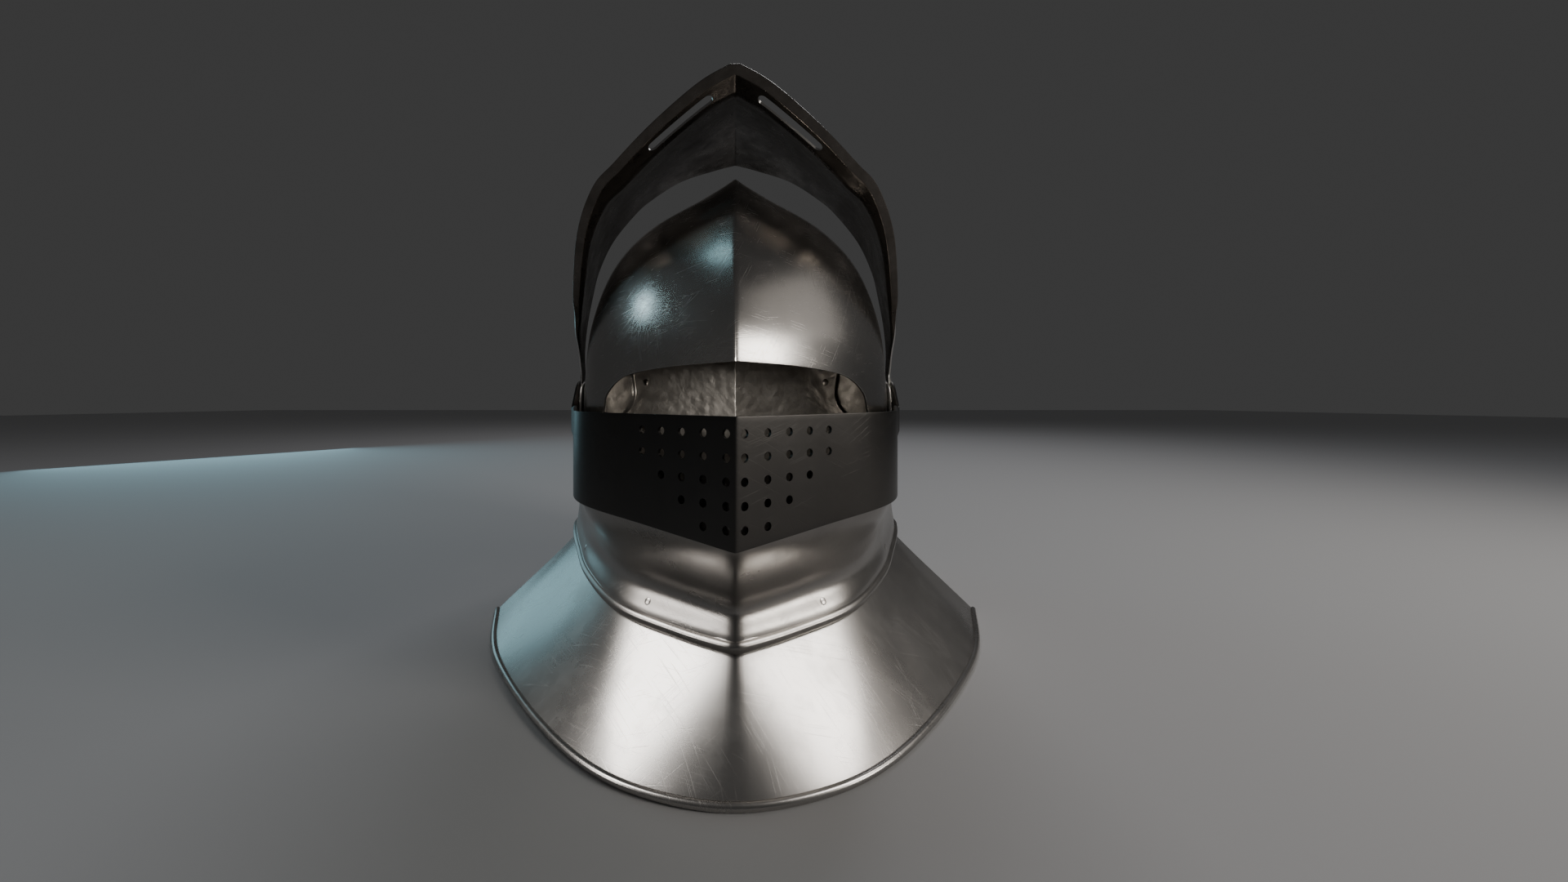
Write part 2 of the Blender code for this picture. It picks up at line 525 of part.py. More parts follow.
dome = bmesh.new()
bmesh.ops.create_uvsphere(dome, u_segments=20, v_segments=10, radius=1)
bmesh.ops.delete(dome, geom=[vert for vert in dome.verts if vert.co.z < -0.01], context="VERTS")
cap_across, cap_along, cap_up = CAP_SIZE
bmesh.ops.transform(dome, verts=dome.verts, matrix=Matrix.Diagonal((cap_across * HALF_WIDTH, cap_along * REACH,
                                                                    cap_up * REACH, 1)))
bmesh.ops.translate(dome, verts=dome.verts, vec=Vector(placed(0, CAP_PLACE[0], CAP_PLACE[1])))
cap_mesh = bpy.data.meshes.new("liner_cap")
dome.to_mesh(cap_mesh)
dome.free()
cap_mesh.shade_smooth()
quilt = new_object("liner_cap", cap_mesh, lining_linen).modifiers.new("quilt", "SOLIDIFY")
quilt.thickness = LINER_QUILT
quilt.offset = -1

# Flush rivets through the bevor and the top of the gorget plate, three a side
columns = gorget_points.shape[1]
corners = [(i, i + 1, i + columns + 1, i + columns) for i in range(gorget_points[:-1, :, 0].size)
           if (i + 1) % columns]
gorget_face = BVHTree.FromPolygons(gorget_points.reshape(-1, 3).tolist(), corners)
gorget_holes = []
for number, column in enumerate(GORGET_RIVET_COLUMNS):
    place, normal = seat(bevor_points, GORGET_RIVET_ROW, column)
    depth = gorget_face.ray_cast(place, -normal)[3]
    grip = depth + PLATE + GORGET_SEAT
    for side in (1, -1):
        place, normal = seat(bevor_points, GORGET_RIVET_ROW, column, side)
        inner, radius = -grip - TOUCH, RIVET_HEAD_RADIUS
        turned(f"gorget_rivet_{2 * number + (1 if side > 0 else 2)}",
               [(0, 0), (RIVET_RADIUS, 0), (RIVET_RADIUS, inner), (0.85 * radius, inner),
                (0.6 * radius, inner - 0.6 * RIVET_HEAD_HEIGHT), (0, inner - 0.6 * RIVET_HEAD_HEIGHT)],
               RIVET_SIDES, place, normal, rivet_steel)
        gorget_holes.append(pin_seat(place, normal, grip))
gorget_cut = pins("gorget_rivet_holes", gorget_holes, RIVET_RADIUS + TOUCH, RIVET_SIDES)
cut(bevor, gorget_cut)
cut(gorget_front, gorget_cut)

# Detent stud on the wearer's right: a flange on the skull and a button under the visor's arm
place, normal = skull_seat(*STUD_PLACE, -1)
stud_grip = PLATE + 2 * TOUCH
turned("detent_stud",
       [(0, STUD_RISE), (0.8 * STUD_RADIUS, STUD_RISE), (STUD_RADIUS, 0.8 * STUD_RISE), (STUD_RADIUS, STUD_FLANGE),
        (STUD_FLANGE_RADIUS, STUD_FLANGE), (STUD_FLANGE_RADIUS, TOUCH), (RIVET_RADIUS, TOUCH),
        (RIVET_RADIUS, -stud_grip), (RIVET_HEAD_RADIUS, -stud_grip), (0.7 * RIVET_HEAD_RADIUS, -stud_grip - STUD_TAIL),
        (0, -stud_grip - STUD_TAIL)], 12, place, normal, rivet_steel)
cut(skull, pins("stud_hole", [pin_seat(place, normal, stud_grip)], RIVET_RADIUS + TOUCH, 12))
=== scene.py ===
"""Looks of the close helmet: plates, rolled rims, rivets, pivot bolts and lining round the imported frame.

Plate shapes are given round the pivot axis: x across in units of HALF_WIDTH, d forwards and h upwards from
the axis in units of REACH. The wearer's left is +X and the face looks along -Y.
"""
import json
import math

import bmesh
import bpy
import numpy as np
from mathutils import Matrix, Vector

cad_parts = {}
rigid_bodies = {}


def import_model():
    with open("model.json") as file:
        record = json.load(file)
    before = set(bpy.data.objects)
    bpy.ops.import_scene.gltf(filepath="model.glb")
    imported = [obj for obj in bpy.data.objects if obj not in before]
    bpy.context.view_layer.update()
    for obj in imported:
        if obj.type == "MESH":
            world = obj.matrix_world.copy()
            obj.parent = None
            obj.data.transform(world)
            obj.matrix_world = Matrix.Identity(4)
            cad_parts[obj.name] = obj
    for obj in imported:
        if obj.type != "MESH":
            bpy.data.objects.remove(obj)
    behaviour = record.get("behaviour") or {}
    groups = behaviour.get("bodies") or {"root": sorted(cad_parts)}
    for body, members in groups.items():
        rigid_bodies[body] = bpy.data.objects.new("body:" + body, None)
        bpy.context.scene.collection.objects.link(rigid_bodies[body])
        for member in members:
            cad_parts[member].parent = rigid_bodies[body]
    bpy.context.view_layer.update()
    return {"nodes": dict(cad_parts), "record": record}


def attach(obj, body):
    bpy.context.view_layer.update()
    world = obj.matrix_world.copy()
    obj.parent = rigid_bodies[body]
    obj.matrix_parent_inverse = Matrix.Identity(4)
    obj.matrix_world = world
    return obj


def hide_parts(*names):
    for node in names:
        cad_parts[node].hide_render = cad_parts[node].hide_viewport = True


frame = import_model()

# Driving dimensions, in metres
HALF_WIDTH = 0.104
REACH = 0.104
PLATE = 0.0012            # thickness of every steel plate
GAP = 0.0006              # clearance between sliding plates
SEAT_GAP = 0.0012         # clearance between riveted plates
TOUCH = 0.0003            # clearance between a fastener and its plate
KEEL_RADIUS = 0.0007      # how far the comb and the ventail's keel are rounded
SOFT_KEEL = 0.0026        # and the bevor's and the gorget's softer keels
EDGE_ROUND = 0.0003       # how far the plates' edges are rounded
CELL = 0.0024             # distance between columns of points on a plate
RIM_DROP = 1.215
FRONT_RIM = 1.713
REAR_RIM = 1.35
RIM_ROLL = 0.0015         # radius of the rolled edge along the rims
RIM_INSET = 0.0011        # how far the nape's rolled edge is set in from the plate's outer face
EAR = 0.125
EAR_START = math.radians(29.9)   # where the bevor's ear takes over from its top edge
ARM_END = 0.095
BOLT_RADIUS = 0.0026
BOLT_HEAD_RADIUS = 0.0075
BOLT_HEAD_HEIGHT = 0.0024
WASHER_RADIUS = 0.0070
WASHER_THICKNESS = 0.0010
NUT_THICKNESS = 0.0030
BOLT_POINT = 0.0012       # how far a bolt ends past its nut
BOLT_CHAMFER = 0.0004
BOLT_SIDES = 64
WASHER_SOFT = 0.00015     # rounding of a washer's rim
SKULL_CURVE = 0.0012
RIVET_RADIUS = 0.0014
RIVET_HEAD_RADIUS = 0.0030
RIVET_HEAD_HEIGHT = 0.0012
INNER_HEAD = 0.88         # breadth and height of a rivet's hammered end, as shares of its head's
INNER_FLAT = 0.6
FLUSH_END = 0.85
FLUSH_RISE = 0.0001       # how far a flush rivet stands out of its plate
GORGET_ROOM = 0.0010      # how far the gorget plate's neck is set in behind the bevor's plate
GORGET_GRIPS = (0.0062, 0.0051, 0.0067)
RIVET_PIN = 0.012         # lengths of the cutting pins, this one for the skull's rivets
NAPE_PIN = 0.016
COLLAR_PIN = 0.022
BREATH_PIN = 0.010
BREATH_RADIUS = 0.00145
BREATH_PITCH = 0.0075
BREATH_ROWS = (5, 5, 4, 3, 2)
BREATH_FIRST = (0.0029, 0.0104)
BREATH_WAY = (0.55, -0.83, 0)
SLOT_WIDTH = 0.0056
SLOT_SPAN = (0.13, 0.40)
SLOT_DEPTH = 0.012
SHARP = math.radians(38)  # edges that turn by more than this stay crisp
BEVELLED = math.radians(50)
PROFILE_STEPS = 24        # points between the knots of the skull's profile lines
EDGE_STEPS = 10           # between those of its lower edge
STEPS = 12                # and between those of the other plates' edges
SIDE_HEIGHTS = 72         # rows of points down the skull
REAR_STEPS = 24           # columns round the bevor's ear
GORGET_STEPS = 16         # rows between the gorget plate's guide lines
NAPE_COLUMNS = 62
BAND_COLUMNS = 50
BAND_ROWS = 9
VISOR_ROWS = (3, 4, 20)   # rows of the visor's flange, ledge and face
VENTAIL_ROWS = 20
VENTAIL_EAR = (-22, 60)   # degrees that the round end faces, and of its first chord
VISOR_EAR = (85.5, 30)

PIVOT = np.array(frame["record"]["behaviour"]["joints"][0]["pos_m"])
SKULL_FACE = 0.948 * HALF_WIDTH
BEVOR_FACE = SKULL_FACE + GAP + PLATE
VISOR_FACE = BEVOR_FACE + GAP + PLATE
VENTAIL_FACE = VISOR_FACE + GAP + PLATE
BEVOR_X = BEVOR_FACE / HALF_WIDTH
VISOR_X = (VISOR_FACE - PLATE) / HALF_WIDTH
VENTAIL_X = VENTAIL_FACE / HALF_WIDTH

# Level outlines of the skull and the nape plate, as (reach, height) along the keels and the widest place
FRONT_LINE = [(-0.05, 1.33), (0.25, 1.285), (0.48, 1.21), (0.75, 1.01), (0.97, 0.70), (1.10, 0.40),
              (1.15, 0.16), (1.16, -0.20), (1.16, -0.70), (1.20, -1.216)]
REAR_LINE = [(-0.05, 1.33), (-0.42, 1.26), (-0.78, 1.00), (-1.01, 0.65), (-1.10, 0.28), (-1.07, -0.12),
             (-0.98, -0.45), (-0.95, -0.66), (-0.99, -0.86), (-1.13, -1.05), (-REAR_RIM, -1.216)]
SIDE_LINE = [(0.0, 1.33), (0.135, 1.23), (0.376, 1.104), (0.618, 0.978), (0.80, 0.771), (0.915, 0.45),
             (0.948, 0.12), (0.948, -0.10), (0.92, -0.40), (0.89, -0.66), (0.935, -0.86), (1.09, -1.05),
             (1.33, -1.216)]
WIDEST = 0.42
FRONT_POWER = 2.4
REAR_POWER = 2.6
ROW_CROWDING = 1.35
SKULL_EDGE = [(1.0, 0.16), (0.84, 0.148), (0.70, 0.115), (0.61, 0.03), (0.575, -0.08), (0.48, -0.17),
              (0.18, -0.20), (-0.12, -0.36), (-0.42, -0.54), (-0.72, -0.60), (-1.0, -0.62)]
NAPE_EDGE = [(-0.475, 0.25), (-0.475, -0.05), (-0.04, -0.33), (0.04, -0.58), (0.16, -0.85), (0.32, -1.04),
             (0.42, -RIM_DROP)]
BEVOR_TOP = [(0, 1.68, -0.22), (0.30, 1.465, -0.21), (0.56, 1.275, -0.20), (0.655, 1.06, -0.20),
             (0.76, 0.76, -0.19), (0.87, 0.42, -0.17), (0.945, 0.20, -0.13)]
BEVOR_CHIN = [(0, 1.685, -0.46), (0.30, 1.47, -0.44), (0.56, 1.28, -0.42), (0.66, 1.05, -0.40),
              (0.765, 0.75, -0.38), (0.87, 0.42, -0.36), (0.95, 0.18, -0.34)]
BEVOR_THROAT = [(0, 1.42, -0.72), (0.22, 1.27, -0.71), (0.47, 1.10, -0.69), (0.67, 0.82, -0.66),
                (0.80, 0.55, -0.63), (0.90, 0.32, -0.61), (0.95, 0.17, -0.60)]
BEVOR_LIP = [(0, 1.446, -0.85), (0.225, 1.306, -0.85), (0.487, 1.128, -0.83), (0.698, 0.83, -0.80),
             (0.822, 0.562, -0.77), (0.91, 0.35, -0.74), (0.955, 0.20, -0.72)]
LIP_BAND = 0.043
LIP_RISE = 0.018
LIP_PROFILE = [(0.0, 0.0), (0.55, 0.12), (1.0, 0.38), (0.85, 0.72), (0.45, 1.0)]   # (share out, share down)
GORGET_TOP = [(0, 1.399, -0.765), (0.218, 1.256, -0.76), (0.476, 1.081, -0.745), (0.685, 0.809, -0.71),
              (0.811, 0.543, -0.68), (0.898, 0.327, -0.66), (0.943, 0.165, -0.645)]
GORGET_NECK = [(0, 1.458, -0.89), (0.233, 1.308, -0.885), (0.499, 1.127, -0.87), (0.712, 0.828, -0.84),
               (0.833, 0.56, -0.81), (0.919, 0.337, -0.79), (0.962, 0.175, -0.78)]
GORGET_RIM = [(0, FRONT_RIM, -1.2), (0.28, 1.657, -1.2), (0.52, 1.523, -1.2), (0.785, 1.274, -1.2),
              (1.05, 0.956, -1.2), (1.21, 0.70, -1.2), (1.365, 0.343, -1.2)]
VENTAIL_TOP = [(0, 1.72, -0.048), (0.30, 1.51, -0.046), (0.585, 1.31, -0.042), (0.68, 1.10, -0.036),
               (0.78, 0.79, -0.03), (0.90, 0.42, -0.03), (0.985, 0.22, -0.045)]
VENTAIL_BOTTOM = [(0, 1.72, -0.452), (0.30, 1.51, -0.422), (0.585, 1.31, -0.39), (0.68, 1.10, -0.365),
                  (0.78, 0.79, -0.31), (0.90, 0.42, -0.235), (0.985, 0.22, -0.18)]
VISOR_LOWER = [(0, 1.751, 57), (0.153, 1.676, 57), (0.377, 1.516, 57), (0.573, 1.35, 57), (0.686, 1.246, 57),
               (0.796, 1.032, 57), (0.881, 0.715, 57), (0.915, 0.58, 60), (0.952, 0.43, 66),
               (VISOR_X, 0.27, 77), (VISOR_X, 0.17, 80)]
VISOR_UPPER = [(0, 1.537, 92), (0.14, 1.50, 92), (0.36, 1.425, 92), (0.56, 1.295, 92), (0.67, 1.19, 92),
               (0.80, 1.02, 92), (0.885, 0.83, 92), (0.925, 0.66, 92), (0.957, 0.475, 92),
               (VISOR_X, 0.30, 92), (VISOR_X, 0.17, 97)]
FLANGE = 0.045
LEDGE_DROP = 0.085
LEDGE_WIDTH = 0.095
MARGIN = 0.022
FLANGE_FADE = [1, 1, 1, 1, 1, 1, 0.8, 0.5, 0.2, 0, 0]
LEDGE_FADE = [1, 1, 1, 1, 0.9, 0.7, 0.5, 0.3, 0.1, 0, 0]
NAPE_RIVETS = [(-0.57, 0.14), (-0.56, -0.22), (-0.86, -0.30)]
LINER_RIVETS = [(-0.34, 0.50), (-0.64, 0.50), (-0.90, 0.50)]
GORGET_RIVETS = (1.5, 3.5, 5.5)      # guide points along the bevor
GORGET_RIVET_ROW = 32                # two thirds of the way from throat to lip
LINER_BAND = 0.0015                  # thickness of the leather band
BAND_ROUND = 0.0004
BAND_HEIGHTS = (0.58, 0.42)
STUD_PLACE = (0.10, 0.25)


# ---------------------------------------------------------------- shapes
def through(knots, steps):
    """A smooth curve through the knots: on each span a cubic whose slopes are half the step between its
    neighbours. The knots may be numbers, points or whole curves."""
    knots = np.asarray(knots, float)
    knots = np.concatenate([[2 * knots[0] - knots[1]], knots, [2 * knots[-1] - knots[-2]]])
    t = (np.arange(steps) / steps).reshape(-1, *[1] * (knots.ndim - 1))
    spans = [0.5 * (2 * b + (c - a) * t + (2 * a - 5 * b + 4 * c - d) * t**2
                    + (3 * b - a - 3 * c + d) * t**3)
             for a, b, c, d in zip(knots, knots[1:], knots[2:], knots[3:])]
    return np.concatenate(spans + [knots[-2:-1]])


def placed(net):
    """World points from a net of (x, d, h): x times HALF_WIDTH across, d and h times REACH from the axis."""
    x, d, h = np.moveaxis(np.asarray(net, float), -1, 0)
    return np.stack([x * HALF_WIDTH, PIVOT[1] - d * REACH, PIVOT[2] + h * REACH], axis=-1)


def between(first, last, rows):
    """Rows straight from one edge to another, at even shares."""
    share = np.linspace(0, 1, rows + 1)[:, None, None]
    return first + (last - first) * share


def round_comb(line, other):
    """A keel line that runs smoothly over the comb into the other one, cut off at the top."""
    whole = through(line[::-1] + other[1:], PROFILE_STEPS)
    half = whole[:(len(line) - 1) * PROFILE_STEPS + 1]
    return half[:, 0], np.maximum.accumulate(half[:, 1])


FRONT_KEEL = round_comb(FRONT_LINE, REAR_LINE)
REAR_KEEL = round_comb(REAR_LINE, FRONT_LINE)
SIDE_CURVE = through(SIDE_LINE, PROFILE_STEPS)[::-1].T


def level_point(s, height, inset=0.0):
    """The skull's shape: at each height x = side (1 - |s|^power), and the reach runs from the widest place
    to the front (s = 1) or the rear (s = -1). The reach uses 1 minus the root of (1 - |s|)^2 plus a small
    square, which rounds the keels."""
    front = np.interp(height, FRONT_KEEL[1], FRONT_KEEL[0]) - inset / REACH
    rear = np.interp(height, REAR_KEEL[1], REAR_KEEL[0]) + inset / REACH
    side = np.maximum(np.interp(height, SIDE_CURVE[1], SIDE_CURVE[0]) - inset / HALF_WIDTH, 0)
    middle = rear + WIDEST * (front - rear)
    power = np.where(s > 0, FRONT_POWER, REAR_POWER)
    blunt = KEEL_RADIUS / (power * np.maximum(side, 0.08) * HALF_WIDTH)
    along = 1 - np.hypot(1 - np.abs(s), blunt)
    d = np.where(s > 0, middle + along * (front - middle), middle - along * (middle - rear))
    x, d, height = np.broadcast_arrays(side * (1 - np.abs(s) ** power), d, height)
    return placed(np.stack([x, d, height], axis=-1))


def near_keel(width, radius=KEEL_RADIUS):
    """Distances from a keel that crowd towards it: six steps with the power 1.5, up to four keel radii."""
    return 4 * radius / width * (np.arange(6) / 6) ** 1.5


def mirrored(half):
    """A whole grid from a half grid whose first column lies in the middle plane."""
    return np.concatenate([half[:, :0:-1] * (-1, 1, 1), half], axis=1)


def keeled(half, radius=KEEL_RADIUS):
    """A whole grid with columns CELL apart. x is read at each column's distance a from the keel, and y and z
    at the root of a^2 + r^2, which rounds the keel to about the radius r."""
    middle = half[len(half) // 2]
    run = np.concatenate([[0], np.cumsum(np.linalg.norm(np.diff(middle, axis=0), axis=1))])
    stops = np.concatenate([near_keel(1, radius),
                            np.linspace(4 * radius, run[-1], round(run[-1] / CELL))])
    blunt = np.hypot(stops, radius)
    blunt[-1] = stops[-1]

    def read(at):
        index = np.interp(at, run, np.arange(len(run)))
        low = np.minimum(index.astype(int), len(run) - 2)
        share = (index - low)[None, :, None]
        return half[:, low] * (1 - share) + half[:, low + 1] * share

    sharp, soft = read(stops), read(blunt)
    soft[..., 0] = sharp[..., 0]
    return mirrored(soft)


def ear_chords(radius, towards, start, x, steps=24):
    """Near and far ends of the chords of a plate's round end, from its neck to its tip, as (x, d, h): the
    circle's points at equal turns either way from the direction in degrees, start being the neck's."""
    turn = np.radians(np.linspace(start, 180, steps + 1))
    middle = math.radians(towards)
    across = np.full(steps + 1, x)
    near = np.stack([across, radius * np.cos(middle - turn), radius * np.sin(middle - turn)], axis=-1)
    far = np.stack([across, radius * np.cos(middle + turn), radius * np.sin(middle + turn)], axis=-1)
    return near, far


def sideways(curve):
    """The level direction that points out from a curve, at each of its points."""
    forwards = np.gradient(curve[:, :2], axis=0)
    forwards /= np.linalg.norm(forwards, axis=1)[:, None]
    return np.stack([-forwards[:, 1], forwards[:, 0], np.zeros(len(curve))], axis=-1)


def over_keel(knots, steps):
    """A curve through the knots whose slope is level where it crosses the keel."""
    across, *rest = knots[1]
    return through([(-across, *rest)] + knots, steps)[steps:]


def set_in(curve, room):
    """The curve moved in by a room in metres, square to itself. Its keel point stays in the middle plane."""
    outwards = sideways(curve)
    inside = curve - outwards * room / REACH
    inside[0, :2] = 0, curve[0, 1] - room / REACH / outwards[0, 1]
    return inside


# ---------------------------------------------------------------- meshes
def grid_mesh(name, grid, ring=False):
    """A mesh of quads over a grid of points, row by row; ring closes each row on itself."""
    rows, columns = grid.shape[:2]
    number = np.arange(rows * columns).reshape(rows, columns)
    right = np.roll(number, -1, axis=1)
    if not ring:
        number, right = number[:, :-1], right[:, :-1]
    quads = np.stack([number[:-1], right[:-1], right[1:], number[1:]], axis=-1).reshape(-1, 4)
    data = bpy.data.meshes.new(name)
    data.from_pydata(grid.reshape(-1, 3).tolist(), [], quads.tolist())
    return data


def welded(data, away_from):
    """Merges the poles and seams, and turns all faces away from a point, or outwards where it is None."""
    mesh = bmesh.new()
    mesh.from_mesh(data)
    bmesh.ops.remove_doubles(mesh, verts=mesh.verts, dist=2e-6)
    bmesh.ops.dissolve_degenerate(mesh, edges=mesh.edges, dist=1e-7)
    bmesh.ops.recalc_face_normals(mesh, faces=mesh.faces)
    if away_from is not None:
        total = sum(face.normal.dot(face.calc_center_median() - away_from) * face.calc_area()
                    for face in mesh.faces)
        if total < 0:
            bmesh.ops.reverse_faces(mesh, faces=mesh.faces)
    mesh.to_mesh(data)
    mesh.free()
    data.shade_smooth()
    return data


def add_piece(name, data, body, slot, material, *nodes):
    """A finished piece that rides on a body and stands for CAD nodes."""
    piece = bpy.data.objects.new(name, data)
    bpy.context.scene.collection.objects.link(piece)
    if not data.materials:
        data.materials.append(material)
    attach(piece, body)
    if nodes:
        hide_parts(*nodes)
    return piece


def applied(piece):
    """The piece's mesh with its modifiers done."""
    bpy.context.view_layer.update()
    graph = bpy.context.evaluated_depsgraph_get()
    return bpy.data.meshes.new_from_object(piece.evaluated_get(graph))


def steel_plate(name, grid, body, material, node, side=-1, cutters=(), ring=False, inside=None,
                clamped=False):
    """A plate: the grid is its outer face (side -1) or its inner one (side 1), a wall of even thickness goes
    on the other side, and its edges are rounded. Each cutter then pierces it. clamped holds the rounding
    back where points lie close together."""
    draft = bpy.data.objects.new(name + "_draft", welded(grid_mesh(name, grid, ring), MIDDLE))
    bpy.context.scene.collection.objects.link(draft)
    for finish in (material, inside or inner_steel):
        draft.data.materials.append(finish)
    wall = draft.modifiers.new("wall", "SOLIDIFY")
    wall.thickness, wall.offset, wall.use_even_offset = PLATE, side, True
    wall.material_offset = 1
    edge = draft.modifiers.new("edge", "BEVEL")
    edge.width, edge.segments, edge.limit_method = EDGE_ROUND, 2, "ANGLE"
    edge.angle_limit = BEVELLED
    edge.use_clamp_overlap = clamped
    for cutter in cutters:
        cut = draft.modifiers.new(cutter.name, "BOOLEAN")
        cut.operation, cut.solver, cut.object = "DIFFERENCE", "EXACT", cutter
    data = applied(draft)
    bpy.data.objects.remove(draft)
    data.set_sharp_from_angle(angle=SHARP)
    piece = add_piece(name, data, body, "polished_steel", material, node)
    smooth = piece.modifiers.new("even_shading", "WEIGHTED_NORMAL")
    smooth.keep_sharp = True
    return piece


def frame_of(axis):
    """Two directions square to an axis."""
    axis = np.asarray(axis, float) / np.linalg.norm(axis)
    spare = np.array([0, 0, 1.0]) if abs(axis[2]) < 0.9 else np.array([1.0, 0, 0])
    first = np.cross(spare, axis)
    first /= np.linalg.norm(first)
    return axis, first, np.cross(axis, first)


def turned(profile, place, axis, steps=40):
    """A round mesh turned from (radius, height) points: place + height along the axis, radius round it."""
    axis, first, second = frame_of(axis)
    turn = np.linspace(0, 2 * np.pi, steps, endpoint=False)[None, :, None]
    radius, height = np.asarray(profile, float).T[:, :, None, None]
    grid = np.asarray(place) + height * axis + radius * (np.cos(turn) * first + np.sin(turn) * second)
    data = welded(grid_mesh("turned", grid, ring=True), None)
    data.set_sharp_from_angle(angle=SHARP)
    return data


def tube(path, radius, sides=14):
    """A round bar along a path, with a domed point at each end: each ring is the path point plus radius
    times the cosine sideways and the sine upwards, shrunk over the last three rings."""
    path = np.asarray(path, float)
    ahead = np.gradient(path, axis=0)
    ahead /= np.linalg.norm(ahead, axis=1)[:, None]
    across = np.cross(ahead, (0, 0, 1.0))
    across /= np.linalg.norm(across, axis=1)[:, None]
    up = np.cross(across, ahead)
    ends = np.array([0.0, 0.5, 0.87])
    shrink = np.concatenate([ends, np.ones(len(path)), ends[::-1]])[:, None, None]
    slide = np.concatenate([[-1, -0.87, -0.5], np.zeros(len(path)), [0.5, 0.87, 1]])[:, None]
    slide = slide * radius
    pad = np.concatenate([[0] * 3, np.arange(len(path)), [len(path) - 1] * 3]).astype(int)
    turn = np.linspace(0, 2 * np.pi, sides, endpoint=False)[None, :, None]
    grid = ((path[pad] + slide * ahead[pad])[:, None] + shrink * radius
            * (np.cos(turn) * across[pad][:, None] + np.sin(turn) * up[pad][:, None]))
    return welded(grid_mesh("tube", grid, ring=True), None)


def cutter_from(name, data):
    """A hidden tool piece that only pierces plates; it is removed before the end."""
    tool = bpy.data.objects.new(name, data)
    bpy.context.scene.collection.objects.link(tool)
    tool.hide_render = True
    return tool


def pins(name, seats, radius, length, sides=24):
    """One cutter of straight pins: each a cylinder of this radius and length centred on its seat."""
    mesh = bmesh.new()
    for place, axis in seats:
        data = turned([(0, length / 2), (radius, length / 2), (radius, -length / 2), (0, -length / 2)],
                      place, axis, sides)
        mesh.from_mesh(data)
        bpy.data.meshes.remove(data)
    data = bpy.data.meshes.new(name)
    mesh.to_mesh(data)
    mesh.free()
    return cutter_from(name, data)


# ---------------------------------------------------------------- finishes
class Nodes:
    """Short calls that add and join shader nodes in one material."""

    def __init__(self, name):
        self.material = bpy.data.materials.new(name)
        self.material.use_nodes = True
        self.tree = self.material.node_tree
        self.shader = self.tree.nodes["Principled BSDF"]
        self.place = self.add("ShaderNodeTexCoord").outputs["Object"]

    def add(self, kind, **settings):
        node = self.tree.nodes.new(kind)
        for key, value in settings.items():
            setattr(node, key, value)
        return node

    def join(self, source, target):
        self.tree.links.new(source, target)

    def turned_place(self, turn, stretch):
        """The piece's own coordinates, turned and then stretched."""
        first = self.add("ShaderNodeMapping")
        first.inputs["Rotation"].default_value = turn
        self.join(self.place, first.inputs["Vector"])
        second = self.add("ShaderNodeMapping")
        second.inputs["Scale"].default_value = stretch
        self.join(first.outputs["Vector"], second.inputs["Vector"])
        return second.outputs["Vector"]

    def noise(self, scale, detail=4.0, rough=0.5, place=None, distortion=0.0):
        node = self.add("ShaderNodeTexNoise")
        node.inputs["Scale"].default_value = scale
        node.inputs["Detail"].default_value = detail
        node.inputs["Roughness"].default_value = rough
        node.inputs["Distortion"].default_value = distortion
        self.join(self.place if place is None else place, node.inputs["Vector"])
        return node.outputs["Fac"]

    def ranged(self, value, low, high, to_low, to_high):
        node = self.add("ShaderNodeMapRange")
        for socket, number in (("From Min", low), ("From Max", high), ("To Min", to_low),
                               ("To Max", to_high)):
            node.inputs[socket].default_value = number
        self.join(value, node.inputs["Value"])
        return node.outputs["Result"]

    def sum(self, first, second, operation="ADD"):
        node = self.add("ShaderNodeMath", operation=operation)
        for socket, value in zip(node.inputs, (first, second)):
            if isinstance(value, (int, float)):
                socket.default_value = value
            else:
                self.join(value, socket)
        return node.outputs["Value"]

    def blend(self, factor, first, second):
        node = self.add("ShaderNodeMix", data_type="RGBA")
        for socket, value in ((0, factor), (6, first), (7, second)):
            if isinstance(value, tuple):
                node.inputs[socket].default_value = (*value, 1)
            else:
                self.join(value, node.inputs[socket])
        return node.outputs[2]

    def bump(self, height, distance, strength=1.0, normal=None):
        node = self.add("ShaderNodeBump")
        node.inputs["Distance"].default_value = distance
        node.inputs["Strength"].default_value = strength
        self.join(height, node.inputs["Height"])
        if normal is not None:
            self.join(normal, node.inputs["Normal"])
        return node.outputs["Normal"]


SCRATCH_TURNS = ((0.3, 0.5, 0.2), (1.2, 0.1, 0.9), (0.7, 1.4, 2.1), (0.1, 2.2, 1.3), (2, 1, 0.4))
SCRATCH_STRETCH = (18, 3400, 18)     # noise cells per metre along and across a scratch


